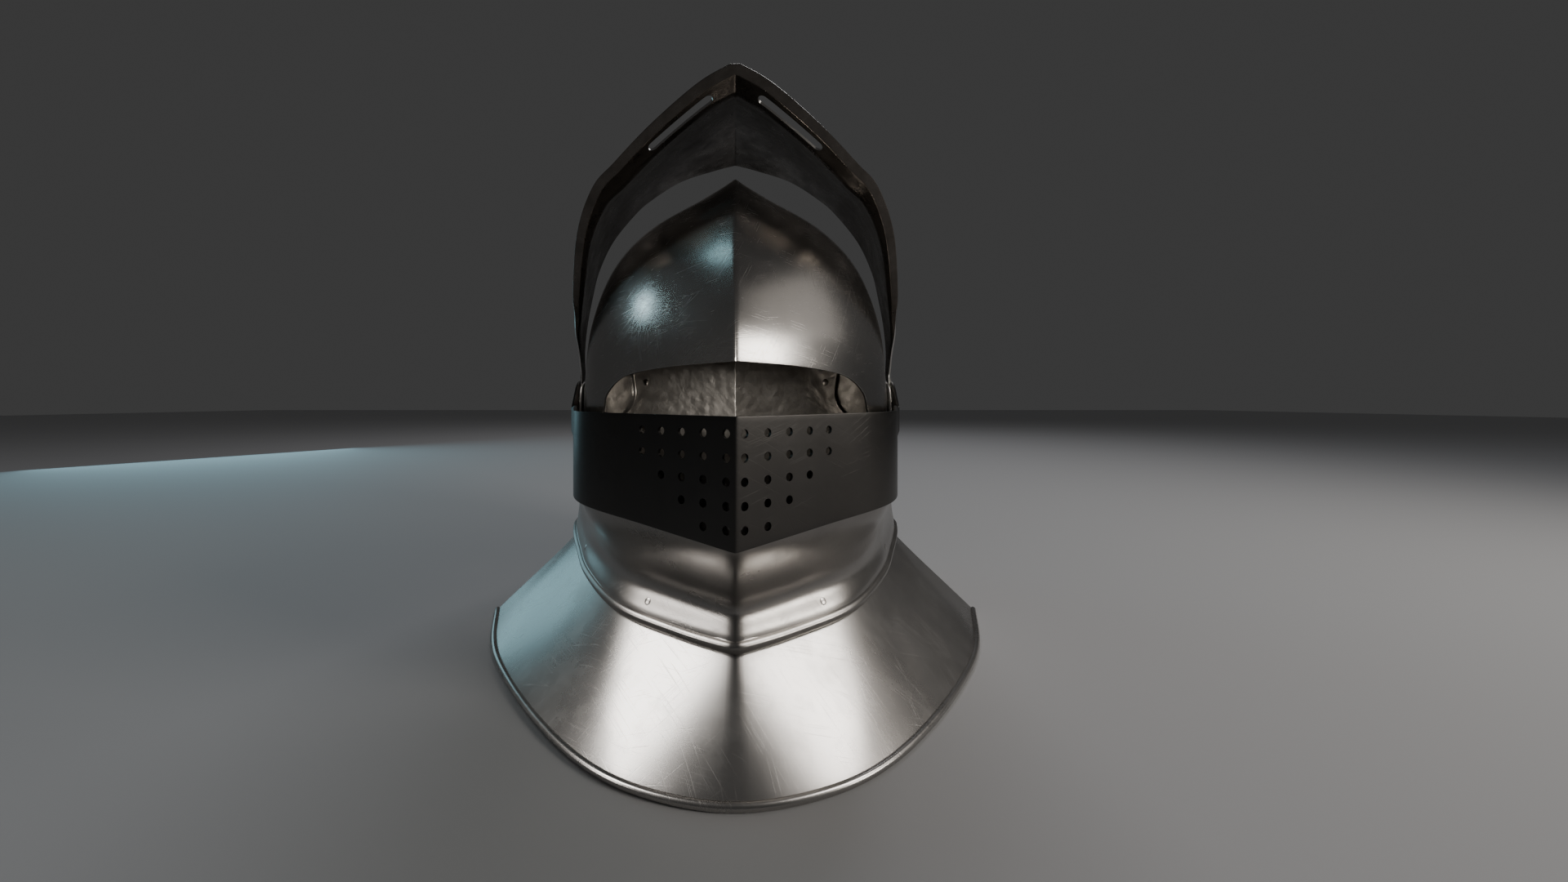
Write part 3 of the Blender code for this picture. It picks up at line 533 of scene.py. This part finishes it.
def steel(name, bright, dark, roughness, hammer, seed, scratches=1.0):
    """Worked steel: soft waves left by the hammer, long fine polishing scratches that cross in drifts,
    clouded gloss, and a thin bloom of age."""
    made = Nodes(name)
    made.shader.inputs["Metallic"].default_value = 1.0
    waves = made.noise(30, 1.0, 0.4, made.turned_place((seed, 0.4, 0), (1, 1, 1.15)))
    lines = None
    for count, (first, second, third) in enumerate(SCRATCH_TURNS):
        along = made.turned_place((first + seed, second, third), SCRATCH_STRETCH)
        streak = made.noise(1.0, 1.0, 0.4, along, distortion=0.3)
        drift = made.ranged(made.noise(34 + 11 * count, 3.0, 0.6), 0.46, 0.66, 0, 1)
        line = made.sum(made.ranged(streak, 0.66, 0.72, 0, 1), drift, "MULTIPLY")
        lines = line if lines is None else made.sum(lines, line, "MAXIMUM")
    cloud = made.noise(14, 4.0, 0.55)
    bloom = made.ranged(made.noise(48, 9.0, 0.72), 0.52, 0.8, 0, 1)
    tone = made.blend(made.ranged(cloud, 0.3, 0.7, 0, 1), dark, bright)
    tone = made.blend(made.sum(bloom, 0.3, "MULTIPLY"), tone, tuple(0.62 * part for part in dark))
    made.join(tone, made.shader.inputs["Base Color"])
    gloss = made.ranged(cloud, 0.3, 0.7, roughness * 0.9, roughness * 1.15)
    gloss = made.sum(gloss, made.sum(bloom, 0.07, "MULTIPLY"))
    gloss = made.sum(gloss, made.sum(lines, 0.06 * scratches, "MULTIPLY"))
    made.join(gloss, made.shader.inputs["Roughness"])
    shape = made.bump(waves, hammer)
    shape = made.bump(made.noise(700, 2.0, 0.5), 0.000002, 1.0, shape)
    made.join(made.bump(lines, -0.000008 * scratches, 1.0, shape), made.shader.inputs["Normal"])
    return made.material


def forged(name, colour, roughness, hammer):
    """The unpolished inside of a plate: close crumpled hammer marks, pits and a brown-grey fire scale."""
    made = Nodes(name)
    made.shader.inputs["Metallic"].default_value = 1.0
    marks = made.add("ShaderNodeTexVoronoi", feature="SMOOTH_F1")
    marks.inputs["Scale"].default_value = 120
    marks.inputs["Smoothness"].default_value = 0.6
    made.join(made.place, marks.inputs["Vector"])
    crumple = made.noise(160, 5.0, 0.6, distortion=0.6)
    scale = made.ranged(made.noise(70, 8.0, 0.7), 0.42, 0.7, 0, 1)
    tone = made.blend(scale, colour, tuple(0.66 * part for part in colour))
    made.join(tone, made.shader.inputs["Base Color"])
    made.join(made.ranged(scale, 0, 1, roughness, roughness + 0.16), made.shader.inputs["Roughness"])
    shape = made.bump(marks.outputs["Distance"], hammer)
    made.join(made.bump(crumple, 0.6 * hammer, 1.0, shape), made.shader.inputs["Normal"])
    return made.material


def linen(name):
    """Natural linen: two crossing sets of fine threads, slubs and a faint yellowing."""
    made = Nodes(name)
    made.shader.inputs["Roughness"].default_value = 0.92
    made.shader.inputs["Sheen Weight"].default_value = 0.25
    threads = []
    for direction in ("X", "Y"):
        wave = made.add("ShaderNodeTexWave", wave_type="BANDS", bands_direction=direction,
                        wave_profile="SIN")
        wave.inputs["Scale"].default_value = 420
        wave.inputs["Distortion"].default_value = 1.6
        wave.inputs["Detail"].default_value = 2
        wave.inputs["Detail Scale"].default_value = 0.6
        made.join(made.place, wave.inputs["Vector"])
        threads.append(wave.outputs["Fac"])
    weave = made.sum(threads[0], threads[1], "MULTIPLY")
    slub = made.noise(90, 5.0, 0.7)
    tone = made.blend(made.ranged(slub, 0.3, 0.7, 0, 1), (0.40, 0.335, 0.235), (0.53, 0.47, 0.36))
    tone = made.blend(made.ranged(weave, 0, 0.6, 0.35, 0), tone, (0.27, 0.22, 0.15))
    made.join(tone, made.shader.inputs["Base Color"])
    shape = made.bump(weave, 0.00035)
    made.join(made.bump(slub, 0.0004, 1.0, shape), made.shader.inputs["Normal"])
    return made.material


def leather(name):
    """Vegetable-tanned leather: pebbled grain, darker creases and a worn gloss."""
    made = Nodes(name)
    grain = made.add("ShaderNodeTexVoronoi", feature="DISTANCE_TO_EDGE")
    grain.inputs["Scale"].default_value = 900
    made.join(made.place, grain.inputs["Vector"])
    cells = made.ranged(grain.outputs["Distance"], 0, 0.12, 0, 1)
    wear = made.noise(45, 6.0, 0.65)
    tone = made.blend(made.ranged(wear, 0.3, 0.7, 0, 1), (0.115, 0.060, 0.032), (0.215, 0.125, 0.070))
    tone = made.blend(made.ranged(cells, 0, 1, 0.6, 0), tone, (0.05, 0.027, 0.016))
    made.join(tone, made.shader.inputs["Base Color"])
    made.join(made.ranged(wear, 0.3, 0.7, 0.62, 0.42), made.shader.inputs["Roughness"])
    shape = made.bump(cells, 0.00012)
    made.join(made.bump(wear, 0.0008, 0.6, shape), made.shader.inputs["Normal"])
    return made.material


BRIGHT_STEEL = (0.46, 0.445, 0.43)
DARK_STEEL = (0.39, 0.375, 0.36)
skull_steel = steel("skull_steel", BRIGHT_STEEL, DARK_STEEL, 0.23, 0.0002, 0.0)
visor_steel = steel("visor_steel", BRIGHT_STEEL, DARK_STEEL, 0.24, 0.0002, 1.1)
# The ventail's copy of the polished steel is painted nearly black: painted shade standing in for the dark
# room its sides reflect.
ventail_steel = steel("ventail_steel", (0.085, 0.081, 0.077), (0.06, 0.057, 0.054), 0.34, 0.0002, 2.3, 2.0)
# The bevor's copy of the polished steel is painted darker: painted shade for its shaded concave chin and
# throat.
bevor_steel = steel("bevor_steel", (0.36, 0.345, 0.33), (0.28, 0.267, 0.255), 0.28, 0.0002, 3.7, 1.6)
gorget_steel = steel("gorget_steel", BRIGHT_STEEL, DARK_STEEL, 0.27, 0.0002, 4.9)
nape_steel = steel("nape_steel", BRIGHT_STEEL, DARK_STEEL, 0.27, 0.0003, 5.6)
inner_steel = forged("inner_steel", (0.43, 0.41, 0.385), 0.36, 0.0005)
# The visor's inside is a much darker copy of the forged inner steel: painted shade for the visor's shaded
# inner face.
visor_inner_steel = forged("visor_inner_steel", (0.125, 0.112, 0.10), 0.26, 0.0002)
fastener_steel = steel("fastener_steel", (0.50, 0.48, 0.46), (0.40, 0.38, 0.36), 0.26, 0.0002, 0.8)
lining_linen = linen("lining_linen_weave")
band_leather = leather("band_leather_grain")

MIDDLE = Vector(PIVOT)

# ---------------------------------------------------------------- skull
dense_edge = through(SKULL_EDGE, EDGE_STEPS)
fine = near_keel(2.5 * HALF_WIDTH)[1:]
round_skull = np.sort(np.concatenate([dense_edge[:, 0], 1 - fine, fine - 1]))
skull_low = np.interp(round_skull, dense_edge[::-1, 0], dense_edge[::-1, 1])
skull_rows = np.linspace(0, 1, SIDE_HEIGHTS + 1)[:, None] ** ROW_CROWDING
top = SIDE_LINE[0][1]
skull_half = level_point(round_skull[None, :], top + (skull_low - top) * skull_rows)
skull_half[:, [0, -1], 0] = 0
skull_ring = np.concatenate([skull_half, skull_half[:, -2:0:-1] * (-1, 1, 1)], axis=1)


def skull_seat(s, height, side):
    """A point of the skull's outer face, and its outward normal from the surface's two slopes."""
    step = np.array([-0.01, 0.0, 0.01])
    spot = level_point(s + step[None, :], height - step[:, None])
    normal = np.cross(spot[2, 1] - spot[0, 1], spot[1, 2] - spot[1, 0])
    normal /= np.linalg.norm(normal)
    normal *= np.sign(normal @ (spot[1, 1] - PIVOT))
    return spot[1, 1] * (side, 1, 1), normal * (side, 1, 1)


def holes_for(places):
    """The seats of a row of rivets, on both sides of the skull."""
    return [skull_seat(s, height, side) for s, height in places for side in (1, -1)]


nape_holes = holes_for(NAPE_RIVETS)
liner_holes = holes_for(LINER_RIVETS)
stud_place, stud_normal = skull_seat(*STUD_PLACE, -1)
bolt_cut = pins("bolt_cut", [(PIVOT, (1, 0, 0))], BOLT_RADIUS + TOUCH, 3 * HALF_WIDTH, 32)
rivet_cut = pins("rivet_cut", nape_holes + liner_holes + [(stud_place, stud_normal)],
                 RIVET_RADIUS + TOUCH, RIVET_PIN)
steel_plate("skull_bowl", skull_ring, "skull", skull_steel, "skull", cutters=(bolt_cut, rivet_cut),
            ring=True)

# ---------------------------------------------------------------- nape plate
nape_edge = through(NAPE_EDGE, STEPS)
foot = -RIM_DROP + RIM_ROLL / REACH
foot_s = np.interp(-foot, -nape_edge[:, 1], nape_edge[:, 0])
nape_edge = np.concatenate([nape_edge[nape_edge[:, 1] > foot + 1e-4], [[foot_s, foot]]])
shares = np.concatenate([near_keel(1.2 * HALF_WIDTH),
                         np.linspace(4 * KEEL_RADIUS / HALF_WIDTH, 1, NAPE_COLUMNS)])
nape_s = -1 + (nape_edge[:, :1] + 1) * shares[None, :]
nape_half = level_point(nape_s, nape_edge[:, 1:], PLATE + SEAT_GAP)
nape_half[:, 0, 0] = 0
steel_plate("nape_guard", mirrored(nape_half), "skull", nape_steel, "nape_plate",
            cutters=(pins("nape_cut", nape_holes, RIVET_RADIUS + TOUCH, NAPE_PIN),), clamped=True)
nape_rim = level_point(nape_s[-1:], nape_edge[-1:, 1:], PLATE + SEAT_GAP + RIM_INSET)
nape_rim[:, 0, 0] = 0
nape_rim = mirrored(nape_rim)[0]
nape_rim[:, 2] = RIM_ROLL
add_piece("nape_rim_roll", tube(nape_rim, RIM_ROLL), "skull", "polished_steel", nape_steel)

# ---------------------------------------------------------------- bevor
rear_turn = np.radians(np.linspace(0, 180, REAR_STEPS + 1)[1:])
ear_d, ear_h = EAR * np.cos(rear_turn), EAR * np.sin(rear_turn)
late = rear_turn >= EAR_START
guides = []
for guide in (BEVOR_TOP, BEVOR_CHIN, BEVOR_THROAT, BEVOR_LIP):
    height = ear_h[late] if guide is BEVOR_TOP else np.full(late.sum(), guide[-1][2])
    rear = np.stack([np.full(late.sum(), BEVOR_X), ear_d[late], height], axis=-1)
    guides.append(np.concatenate([through(guide, STEPS), rear]))
guides = through(guides, STEPS)
lip = guides[-1]
lip_shape = through(LIP_PROFILE, 4)[1:]
lip_rows = [lip + sideways(lip) * LIP_RISE * out - np.array([0, 0, LIP_BAND * down])
            for out, down in lip_shape]
bevor_half = placed(np.concatenate([guides, lip_rows]))
gorget_holes = []
for column in GORGET_RIVETS:
    i, j = GORGET_RIVET_ROW, round(STEPS * column)
    down = bevor_half[i + 1, j] - bevor_half[i - 1, j]
    along = bevor_half[i, j + 1] - bevor_half[i, j - 1]
    normal = np.cross(down, along) / np.linalg.norm(np.cross(down, along))
    normal *= np.sign(normal @ (bevor_half[i, j] - PIVOT))
    gorget_holes += [(bevor_half[i, j] * (side, 1, 1), normal * (side, 1, 1)) for side in (1, -1)]
gorget_cut = pins("gorget_cut", gorget_holes, RIVET_RADIUS + TOUCH / 3, COLLAR_PIN)
steel_plate("bevor_plate", keeled(bevor_half, SOFT_KEEL), "bevor", bevor_steel, "bevor",
            cutters=(bolt_cut, gorget_cut))

# ---------------------------------------------------------------- gorget plate
inner_top, inner_neck = [set_in(through(guide, STEPS), PLATE + GORGET_ROOM)
                         for guide in (GORGET_TOP, GORGET_NECK)]
gorget_net = through([inner_top, inner_neck, over_keel(GORGET_RIM, STEPS)], GORGET_STEPS)
gorget_grid = keeled(placed(gorget_net), SOFT_KEEL)
steel_plate("gorget_plate", gorget_grid, "bevor", gorget_steel, "gorget_front", cutters=(gorget_cut,))
gorget_rim = gorget_grid[-1].copy()
gorget_rim[:, 2] = RIM_ROLL
add_piece("gorget_rim_roll", tube(gorget_rim, RIM_ROLL), "bevor", "polished_steel", gorget_steel)

# ---------------------------------------------------------------- ventail
low_ear, high_ear = ear_chords(EAR, *VENTAIL_EAR, VENTAIL_X)
ventail_net = between(np.concatenate([through(VENTAIL_TOP, STEPS), high_ear]),
                      np.concatenate([through(VENTAIL_BOTTOM, STEPS), low_ear]), VENTAIL_ROWS)
keel_slope = np.array(VENTAIL_TOP)[:3, :2]
breath = []
for row, count in enumerate(BREATH_ROWS):
    for column in range(count):
        x = (BREATH_FIRST[0] + BREATH_PITCH * column) / HALF_WIDTH
        d = np.interp(x, keel_slope[:, 0], keel_slope[:, 1])
        spot = placed((x, d, -(BREATH_FIRST[1] + BREATH_PITCH * row) / REACH))
        breath += [(spot * (side, 1, 1), np.array(BREATH_WAY) * (side, 1, 1)) for side in (1, -1)]
breath_cut = pins("breath_cut", breath, BREATH_RADIUS, BREATH_PIN)
steel_plate("ventail_plate", keeled(placed(ventail_net)), "ventail", ventail_steel, "ventail",
            cutters=(bolt_cut, breath_cut))

# ---------------------------------------------------------------- visor
lower, upper = through(VISOR_LOWER, STEPS), through(VISOR_UPPER, STEPS)
along = np.gradient(lower[:, :2], axis=0)
along /= np.linalg.norm(along, axis=1)[:, None]
flange_fade, ledge_fade = through(FLANGE_FADE, STEPS), through(LEDGE_FADE, STEPS)
flange_edge = lower + np.stack([-along[:, 1] * FLANGE * flange_fade, along[:, 0] * FLANGE * flange_fade,
                                -np.degrees(MARGIN * (1 - flange_fade) / lower[:, 1])], axis=-1)
ledge_width = MARGIN + (LEDGE_WIDTH - MARGIN) * ledge_fade
ledge_edge = lower + np.stack([0 * ledge_fade, -LEDGE_DROP * ledge_fade,
                               np.degrees(ledge_width / lower[:, 1])], axis=-1)
flange_rows, ledge_rows, face_rows = VISOR_ROWS
visor_net = np.concatenate([between(flange_edge, lower, flange_rows)[:-1],
                            between(lower, ledge_edge, ledge_rows)[:-1],
                            between(ledge_edge, upper, face_rows)])
share = np.concatenate([np.linspace(0, 1, flange_rows + 1)[:-1], 1 + np.linspace(0, 1, ledge_rows + 1)[:-1],
                        2 + 4 * np.linspace(0, 1, face_rows + 1)]) / 6
turn = np.radians(visor_net[..., 2])
visor_net = np.stack([visor_net[..., 0], visor_net[..., 1] * np.cos(turn),
                      visor_net[..., 1] * np.sin(turn)], axis=-1)
near_end, far_end = ear_chords(ARM_END, *VISOR_EAR, VISOR_X)
visor_net = np.concatenate([visor_net, near_end + (far_end - near_end) * share[:, None, None]], axis=1)


def polar(x, radius, degrees):
    """A world point from x, a radius round the pivot axis and the angle up from straight ahead."""
    return placed((x, radius * math.cos(math.radians(degrees)), radius * math.sin(math.radians(degrees))))


ledge_mid = (lower + ledge_edge) / 2
slot_ends = [polar(x, np.interp(x, ledge_mid[:, 0], ledge_mid[:, 1]), ledge_mid[0, 2])
             for x in SLOT_SPAN]
slot_along = (slot_ends[1] - slot_ends[0]) / np.linalg.norm(slot_ends[1] - slot_ends[0])
slot_normal = np.cross(slot_along, polar(*ledge_edge[0]) - polar(*lower[0]))
slot_normal /= np.linalg.norm(slot_normal)
slot_across = np.cross(slot_normal, slot_along)
turn = np.radians(np.linspace(-90, 90, 13))[:, None]
arc = SLOT_WIDTH / 2 * (slot_along * np.cos(turn) + slot_across * np.sin(turn))
outline = np.concatenate([slot_ends[1] + arc, slot_ends[0] - arc])
slot_cutters = []
for side, word in ((1, "left"), (-1, "right")):
    rim = outline * (side, 1, 1)
    depth = slot_normal * (side, 1, 1) * SLOT_DEPTH
    heart = rim.mean(axis=0)
    grid = np.stack([np.tile(heart - depth, (len(rim), 1)), rim - depth, rim + depth,
                     np.tile(heart + depth, (len(rim), 1))])
    slot_cutters.append(cutter_from(f"slot_{word}", welded(grid_mesh("slot", grid, ring=True), None)))
steel_plate("visor_plate", keeled(placed(visor_net)), "visor", visor_steel, "visor", side=1,
            cutters=(bolt_cut, *slot_cutters), inside=visor_inner_steel)


# ---------------------------------------------------------------- fasteners
def dome(radius, height, foot=0.12, steps=8):
    """A domed head from its middle to its edge: a quarter ellipse over a low upright foot."""
    turn = np.linspace(0, np.pi / 2, steps)
    return [(radius * math.sin(t), height * (foot + (1 - foot) * math.cos(t))) for t in turn]


def add_rivet(name, place, normal, grip, node):
    """A rivet with a domed outer head, its shank and a hammered inner end."""
    head = [(r, TOUCH + h) for r, h in dome(RIVET_HEAD_RADIUS, RIVET_HEAD_HEIGHT)]
    inner = [(INNER_HEAD * r, -grip - TOUCH - INNER_FLAT * h)
             for r, h in dome(RIVET_HEAD_RADIUS, RIVET_HEAD_HEIGHT)][::-1]
    profile = head + [(RIVET_HEAD_RADIUS, TOUCH), (RIVET_RADIUS, TOUCH), (RIVET_RADIUS, -grip - TOUCH),
                      (INNER_HEAD * RIVET_HEAD_RADIUS, -grip - TOUCH)] + inner
    add_piece(name, turned(profile, place, normal), "skull", "rivet_steel", fastener_steel, node)


for number, (place, normal) in enumerate(nape_holes, 1):
    add_rivet(f"nape_stud_{number}", place, normal, 2 * PLATE + SEAT_GAP, f"nape_rivet_{number}")
for number, (place, normal) in enumerate(liner_holes, 1):
    add_rivet(f"liner_stud_{number}", place, normal, PLATE + SEAT_GAP + LINER_BAND,
              f"liner_rivet_{number}")
for number, (place, normal) in enumerate(gorget_holes, 1):
    gorget_grip = GORGET_GRIPS[(number - 1) // 2]
    end = [(FLUSH_END * r, -gorget_grip - TOUCH - INNER_FLAT * h)
           for r, h in dome(RIVET_HEAD_RADIUS, RIVET_HEAD_HEIGHT)]
    profile = [(0, FLUSH_RISE), (0.8 * RIVET_RADIUS, FLUSH_RISE), (RIVET_RADIUS, 0),
               (RIVET_RADIUS, -gorget_grip - TOUCH),
               (FLUSH_END * RIVET_HEAD_RADIUS, -gorget_grip - TOUCH)] + end[::-1]
    add_piece(f"gorget_stud_{number}", turned(profile, place, normal), "bevor", "rivet_steel",
              fastener_steel, f"gorget_rivet_{number}")

stack = VENTAIL_FACE - SKULL_FACE + PLATE
inside = -(stack + 2 * TOUCH + SKULL_CURVE)
nut_face = inside - WASHER_THICKNESS - TOUCH
bolt_end = nut_face - NUT_THICKNESS - BOLT_POINT
for side, word in ((1, "left"), (-1, "right")):
    axis = np.array([side, 0, 0.0])
    face = PIVOT + axis * (VENTAIL_FACE + TOUCH)
    profile = dome(BOLT_HEAD_RADIUS, BOLT_HEAD_HEIGHT, 0.25, 14) + [
        (BOLT_HEAD_RADIUS, 0), (BOLT_RADIUS, 0), (BOLT_RADIUS, bolt_end + BOLT_CHAMFER),
        (0.8 * BOLT_RADIUS, bolt_end), (0, bolt_end)]
    add_piece(f"pivot_pin_{word}", turned(profile, face, axis, BOLT_SIDES), "skull", "rivet_steel",
              fastener_steel, f"pivot_bolt_{word}")
    hole, low, high = BOLT_RADIUS + TOUCH, inside - WASHER_THICKNESS, inside
    rim, shy = WASHER_RADIUS, WASHER_RADIUS - WASHER_SOFT
    ring = [(hole, high), (shy, high), (rim, high - WASHER_SOFT), (rim, low + WASHER_SOFT), (shy, low),
            (hole, low), (hole, high)]
    add_piece(f"pivot_ring_{word}", turned(ring, face, axis, BOLT_SIDES), "skull", "rivet_steel",
              fastener_steel, f"pivot_washer_{word}")
    nut = frame["nodes"][f"pivot_nut_{word}"]
    for spot in nut.material_slots:
        spot.material = fastener_steel

# The visor's catch: a blunt stud on a round flange, riveted through the skull
stud_rise, stud_radius, flange, flange_radius, flange_soft = 0.0020, 0.0018, 0.0009, 0.0048, 0.0005
stud_foot, stud_tail = -PLATE - 2 * TOUCH, 0.0008
stud = [(stud_radius * math.sin(t), flange + (stud_rise - flange) * math.cos(t) ** 0.6)
        for t in np.linspace(0, np.pi / 2, 9)]
stud += [(flange_radius - flange_soft, flange), (flange_radius, flange - 0.0003), (flange_radius, TOUCH),
         (RIVET_RADIUS, TOUCH), (RIVET_RADIUS, stud_foot), (RIVET_HEAD_RADIUS, stud_foot),
         (0.7 * RIVET_HEAD_RADIUS, stud_foot - stud_tail), (0, stud_foot - stud_tail)]
add_piece("visor_catch", turned(stud, stud_place, stud_normal, 48), "skull", "rivet_steel", fastener_steel,
          "detent_stud")

# ---------------------------------------------------------------- lining
band_high, band_low = BAND_HEIGHTS
band_s = 1 - np.concatenate([near_keel(2.5 * HALF_WIDTH),
                             np.linspace(4 * KEEL_RADIUS / (2.5 * HALF_WIDTH), 1, BAND_COLUMNS)])
band_s = np.concatenate([band_s, -band_s[-2::-1]])
band_h = np.linspace(band_high, band_low, BAND_ROWS)
band_half = level_point(band_s[None, :], band_h[:, None], PLATE + SEAT_GAP)
band_half[:, [0, -1], 0] = 0
band_ring = np.concatenate([band_half, band_half[:, -2:0:-1] * (-1, 1, 1)], axis=1)
draft = bpy.data.objects.new("band_draft", welded(grid_mesh("liner_strap", band_ring, ring=True), MIDDLE))
bpy.context.scene.collection.objects.link(draft)
wall = draft.modifiers.new("wall", "SOLIDIFY")
wall.thickness, wall.offset = LINER_BAND, -1
edge = draft.modifiers.new("edge", "BEVEL")
edge.width, edge.segments, edge.limit_method = BAND_ROUND, 2, "ANGLE"
cut = draft.modifiers.new("rivets", "BOOLEAN")
cut.operation, cut.solver, cut.object = "DIFFERENCE", "EXACT", rivet_cut
band_data = applied(draft)
bpy.data.objects.remove(draft)
add_piece("liner_strap", band_data, "skull", "band_leather", band_leather, "liner_band")

# The padded cap: a dome, its reach times the sine and the cosine of the fall from its top. Its pad swells
# between sewn channels by powers of the sines of the turn and of the fall.
CAP_MIDDLE = placed((0, -0.03, 0.44))
CAP_REACH = np.array([0.80 * HALF_WIDTH, 0.86 * REACH, 0.70 * REACH])
PAD = 0.0060              # thickness of the pad
PUFF = 0.0016             # how far it swells
PLUMP = 0.45              # how full the swelling is: lower is squarer
CROWN = 0.12              # share of the fall over which the gores die away
GORES = 12
RINGS = 4
around = np.linspace(0, 2 * np.pi, 20 * GORES, endpoint=False)[None, :]
fall = np.linspace(0, 1, 97)[:, None]
ease = np.clip(fall / CROWN, 0, 1)
rings = np.abs(np.sin(RINGS * np.pi * fall)) ** PLUMP
swell = (np.abs(np.sin(GORES * around / 2)) ** PLUMP * rings) * ease + rings * (1 - ease)
polar_turn = fall * np.pi / 2
ball = np.stack([np.sin(polar_turn) * np.cos(around), np.sin(polar_turn) * np.sin(around),
                 np.cos(polar_turn) * np.ones_like(around)], axis=-1)
outer = CAP_MIDDLE + ball * (CAP_REACH - PUFF + PUFF * swell[..., None])
inner = CAP_MIDDLE + ball * (CAP_REACH - PAD + PUFF * 0.6 - PUFF * 1.4 * swell[..., None])
hem_turn = np.linspace(0, np.pi, 7)[1:-1]
hem = [(outer[-1] + inner[-1]) / 2 + (outer[-1] - inner[-1]) / 2 * math.cos(t)
       - np.array([0, 0, 0.5 * PAD * math.sin(t)]) for t in hem_turn]
cap_grid = np.concatenate([outer, hem, inner[::-1]])
cap_data = welded(grid_mesh("liner_pad", cap_grid, ring=True), None)
cap = add_piece("liner_pad", cap_data, "skull", "lining_linen", lining_linen, "liner_cap")

for tool in [o for o in bpy.data.objects if o.name.endswith("_cut") or o.name.startswith("slot_")]:
    bpy.data.objects.remove(tool)

# ---------------------------------------------------------------- floor, light and camera
FLOOR_HALF = 6
floor_data = bpy.data.meshes.new("floor")
floor_corners = [(x * FLOOR_HALF, y * FLOOR_HALF, 0) for x, y in ((-1, -1), (1, -1), (1, 1), (-1, 1))]
floor_data.from_pydata(floor_corners, [], [(0, 1, 2, 3)])
floor = bpy.data.objects.new("floor", floor_data)
bpy.context.scene.collection.objects.link(floor)
paper = Nodes("pale_paper")
paper.shader.inputs["Base Color"].default_value = (0.62, 0.62, 0.63, 1)
paper.shader.inputs["Roughness"].default_value = 0.8
floor_data.materials.append(paper.material)


def soft_light(name, place, size, power, colour, lit=()):
    """A soft rectangle of light that faces the helmet's middle. It lights everything, or only the pieces
    named."""
    data = bpy.data.lights.new(name, "AREA")
    data.shape = "RECTANGLE"
    data.size, data.size_y = size
    data.energy = power
    data.color = colour
    lamp = bpy.data.objects.new(name, data)
    bpy.context.scene.collection.objects.link(lamp)
    lamp.location = place
    way = MIDDLE - lamp.location
    lamp.rotation_euler = way.to_track_quat("-Z", "Y").to_euler()
    lamp.visible_camera = False
    if lit:
        group = bpy.data.collections.new(name + "_lights")
        for piece in lit:
            group.objects.link(bpy.data.objects[piece])
        lamp.light_linking.receiver_collection = group


# Lamps that light only some pieces keep the soft bands of light on the collar off the skull
COLLAR = ("gorget_plate", "gorget_rim_roll", "bevor_plate", *[f"gorget_stud_{n}" for n in range(1, 7)])
REAR_SIDE = COLLAR + ("visor_plate", "ventail_plate", "nape_guard", "nape_rim_roll", "floor")
soft_light("white_right", (0.95, -0.50, 0.42), (0.30, 0.24), 3.6, (1.0, 0.95, 0.88))
soft_light("wide_right", (1.05, -0.12, 0.75), (0.60, 0.50), 0.5, (1.0, 0.94, 0.87))
soft_light("lip_left", (-0.95, -0.50, 0.46), (0.34, 0.30), 2.4, (1.0, 0.96, 0.92), COLLAR)
soft_light("collar_right", (0.72, -0.28, 0.92), (0.40, 0.40), 6.5, (1.0, 0.95, 0.90), COLLAR)
soft_light("collar_left", (-0.76, -0.24, 0.90), (0.38, 0.38), 6.5, (1.0, 0.97, 0.93), COLLAR)
soft_light("cool_spot", (-1.02, 0.12, 0.72), (0.05, 0.13), 0.35, (0.62, 0.90, 1.0), ("skull_bowl",))
soft_light("cool_comb", (-0.66, -0.11, 1.08), (0.08, 0.14), 0.16, (0.50, 0.88, 1.0), ("skull_bowl",))
soft_light("cool_rim", (-1.1, 0.75, 0.35), (0.5, 0.7), 1.5, (0.36, 0.68, 0.80), REAR_SIDE)
soft_light("front_fill", (0.10, -0.80, 0.16), (0.22, 0.14), 9.0, (1.0, 0.95, 0.88),
           ("skull_bowl", "nape_guard"))
soft_light("rear_fill", (0.25, 0.95, 1.6), (0.9, 0.6), 6.0, (0.97, 0.97, 1.0))

world = bpy.data.worlds.new("studio")
world.use_nodes = True
world.node_tree.nodes["Background"].inputs["Color"].default_value = (0.5, 0.5, 0.5, 1)
world.node_tree.nodes["Background"].inputs["Strength"].default_value = 0.094
bpy.context.scene.world = world

CAMERA_DISTANCE = 0.3284  # in front of the pivot axis
camera_data = bpy.data.cameras.new("camera")
camera_data.lens = 11.25
camera_data.sensor_width = 36
camera_data.clip_start = 0.01
camera_data.shift_x, camera_data.shift_y = 0.031, -0.026
camera = bpy.data.objects.new("camera", camera_data)
bpy.context.scene.collection.objects.link(camera)
camera.location = (0, PIVOT[1] - CAMERA_DISTANCE, PIVOT[2])
camera.rotation_euler = (math.pi / 2, 0, 0)
bpy.context.scene.camera = camera
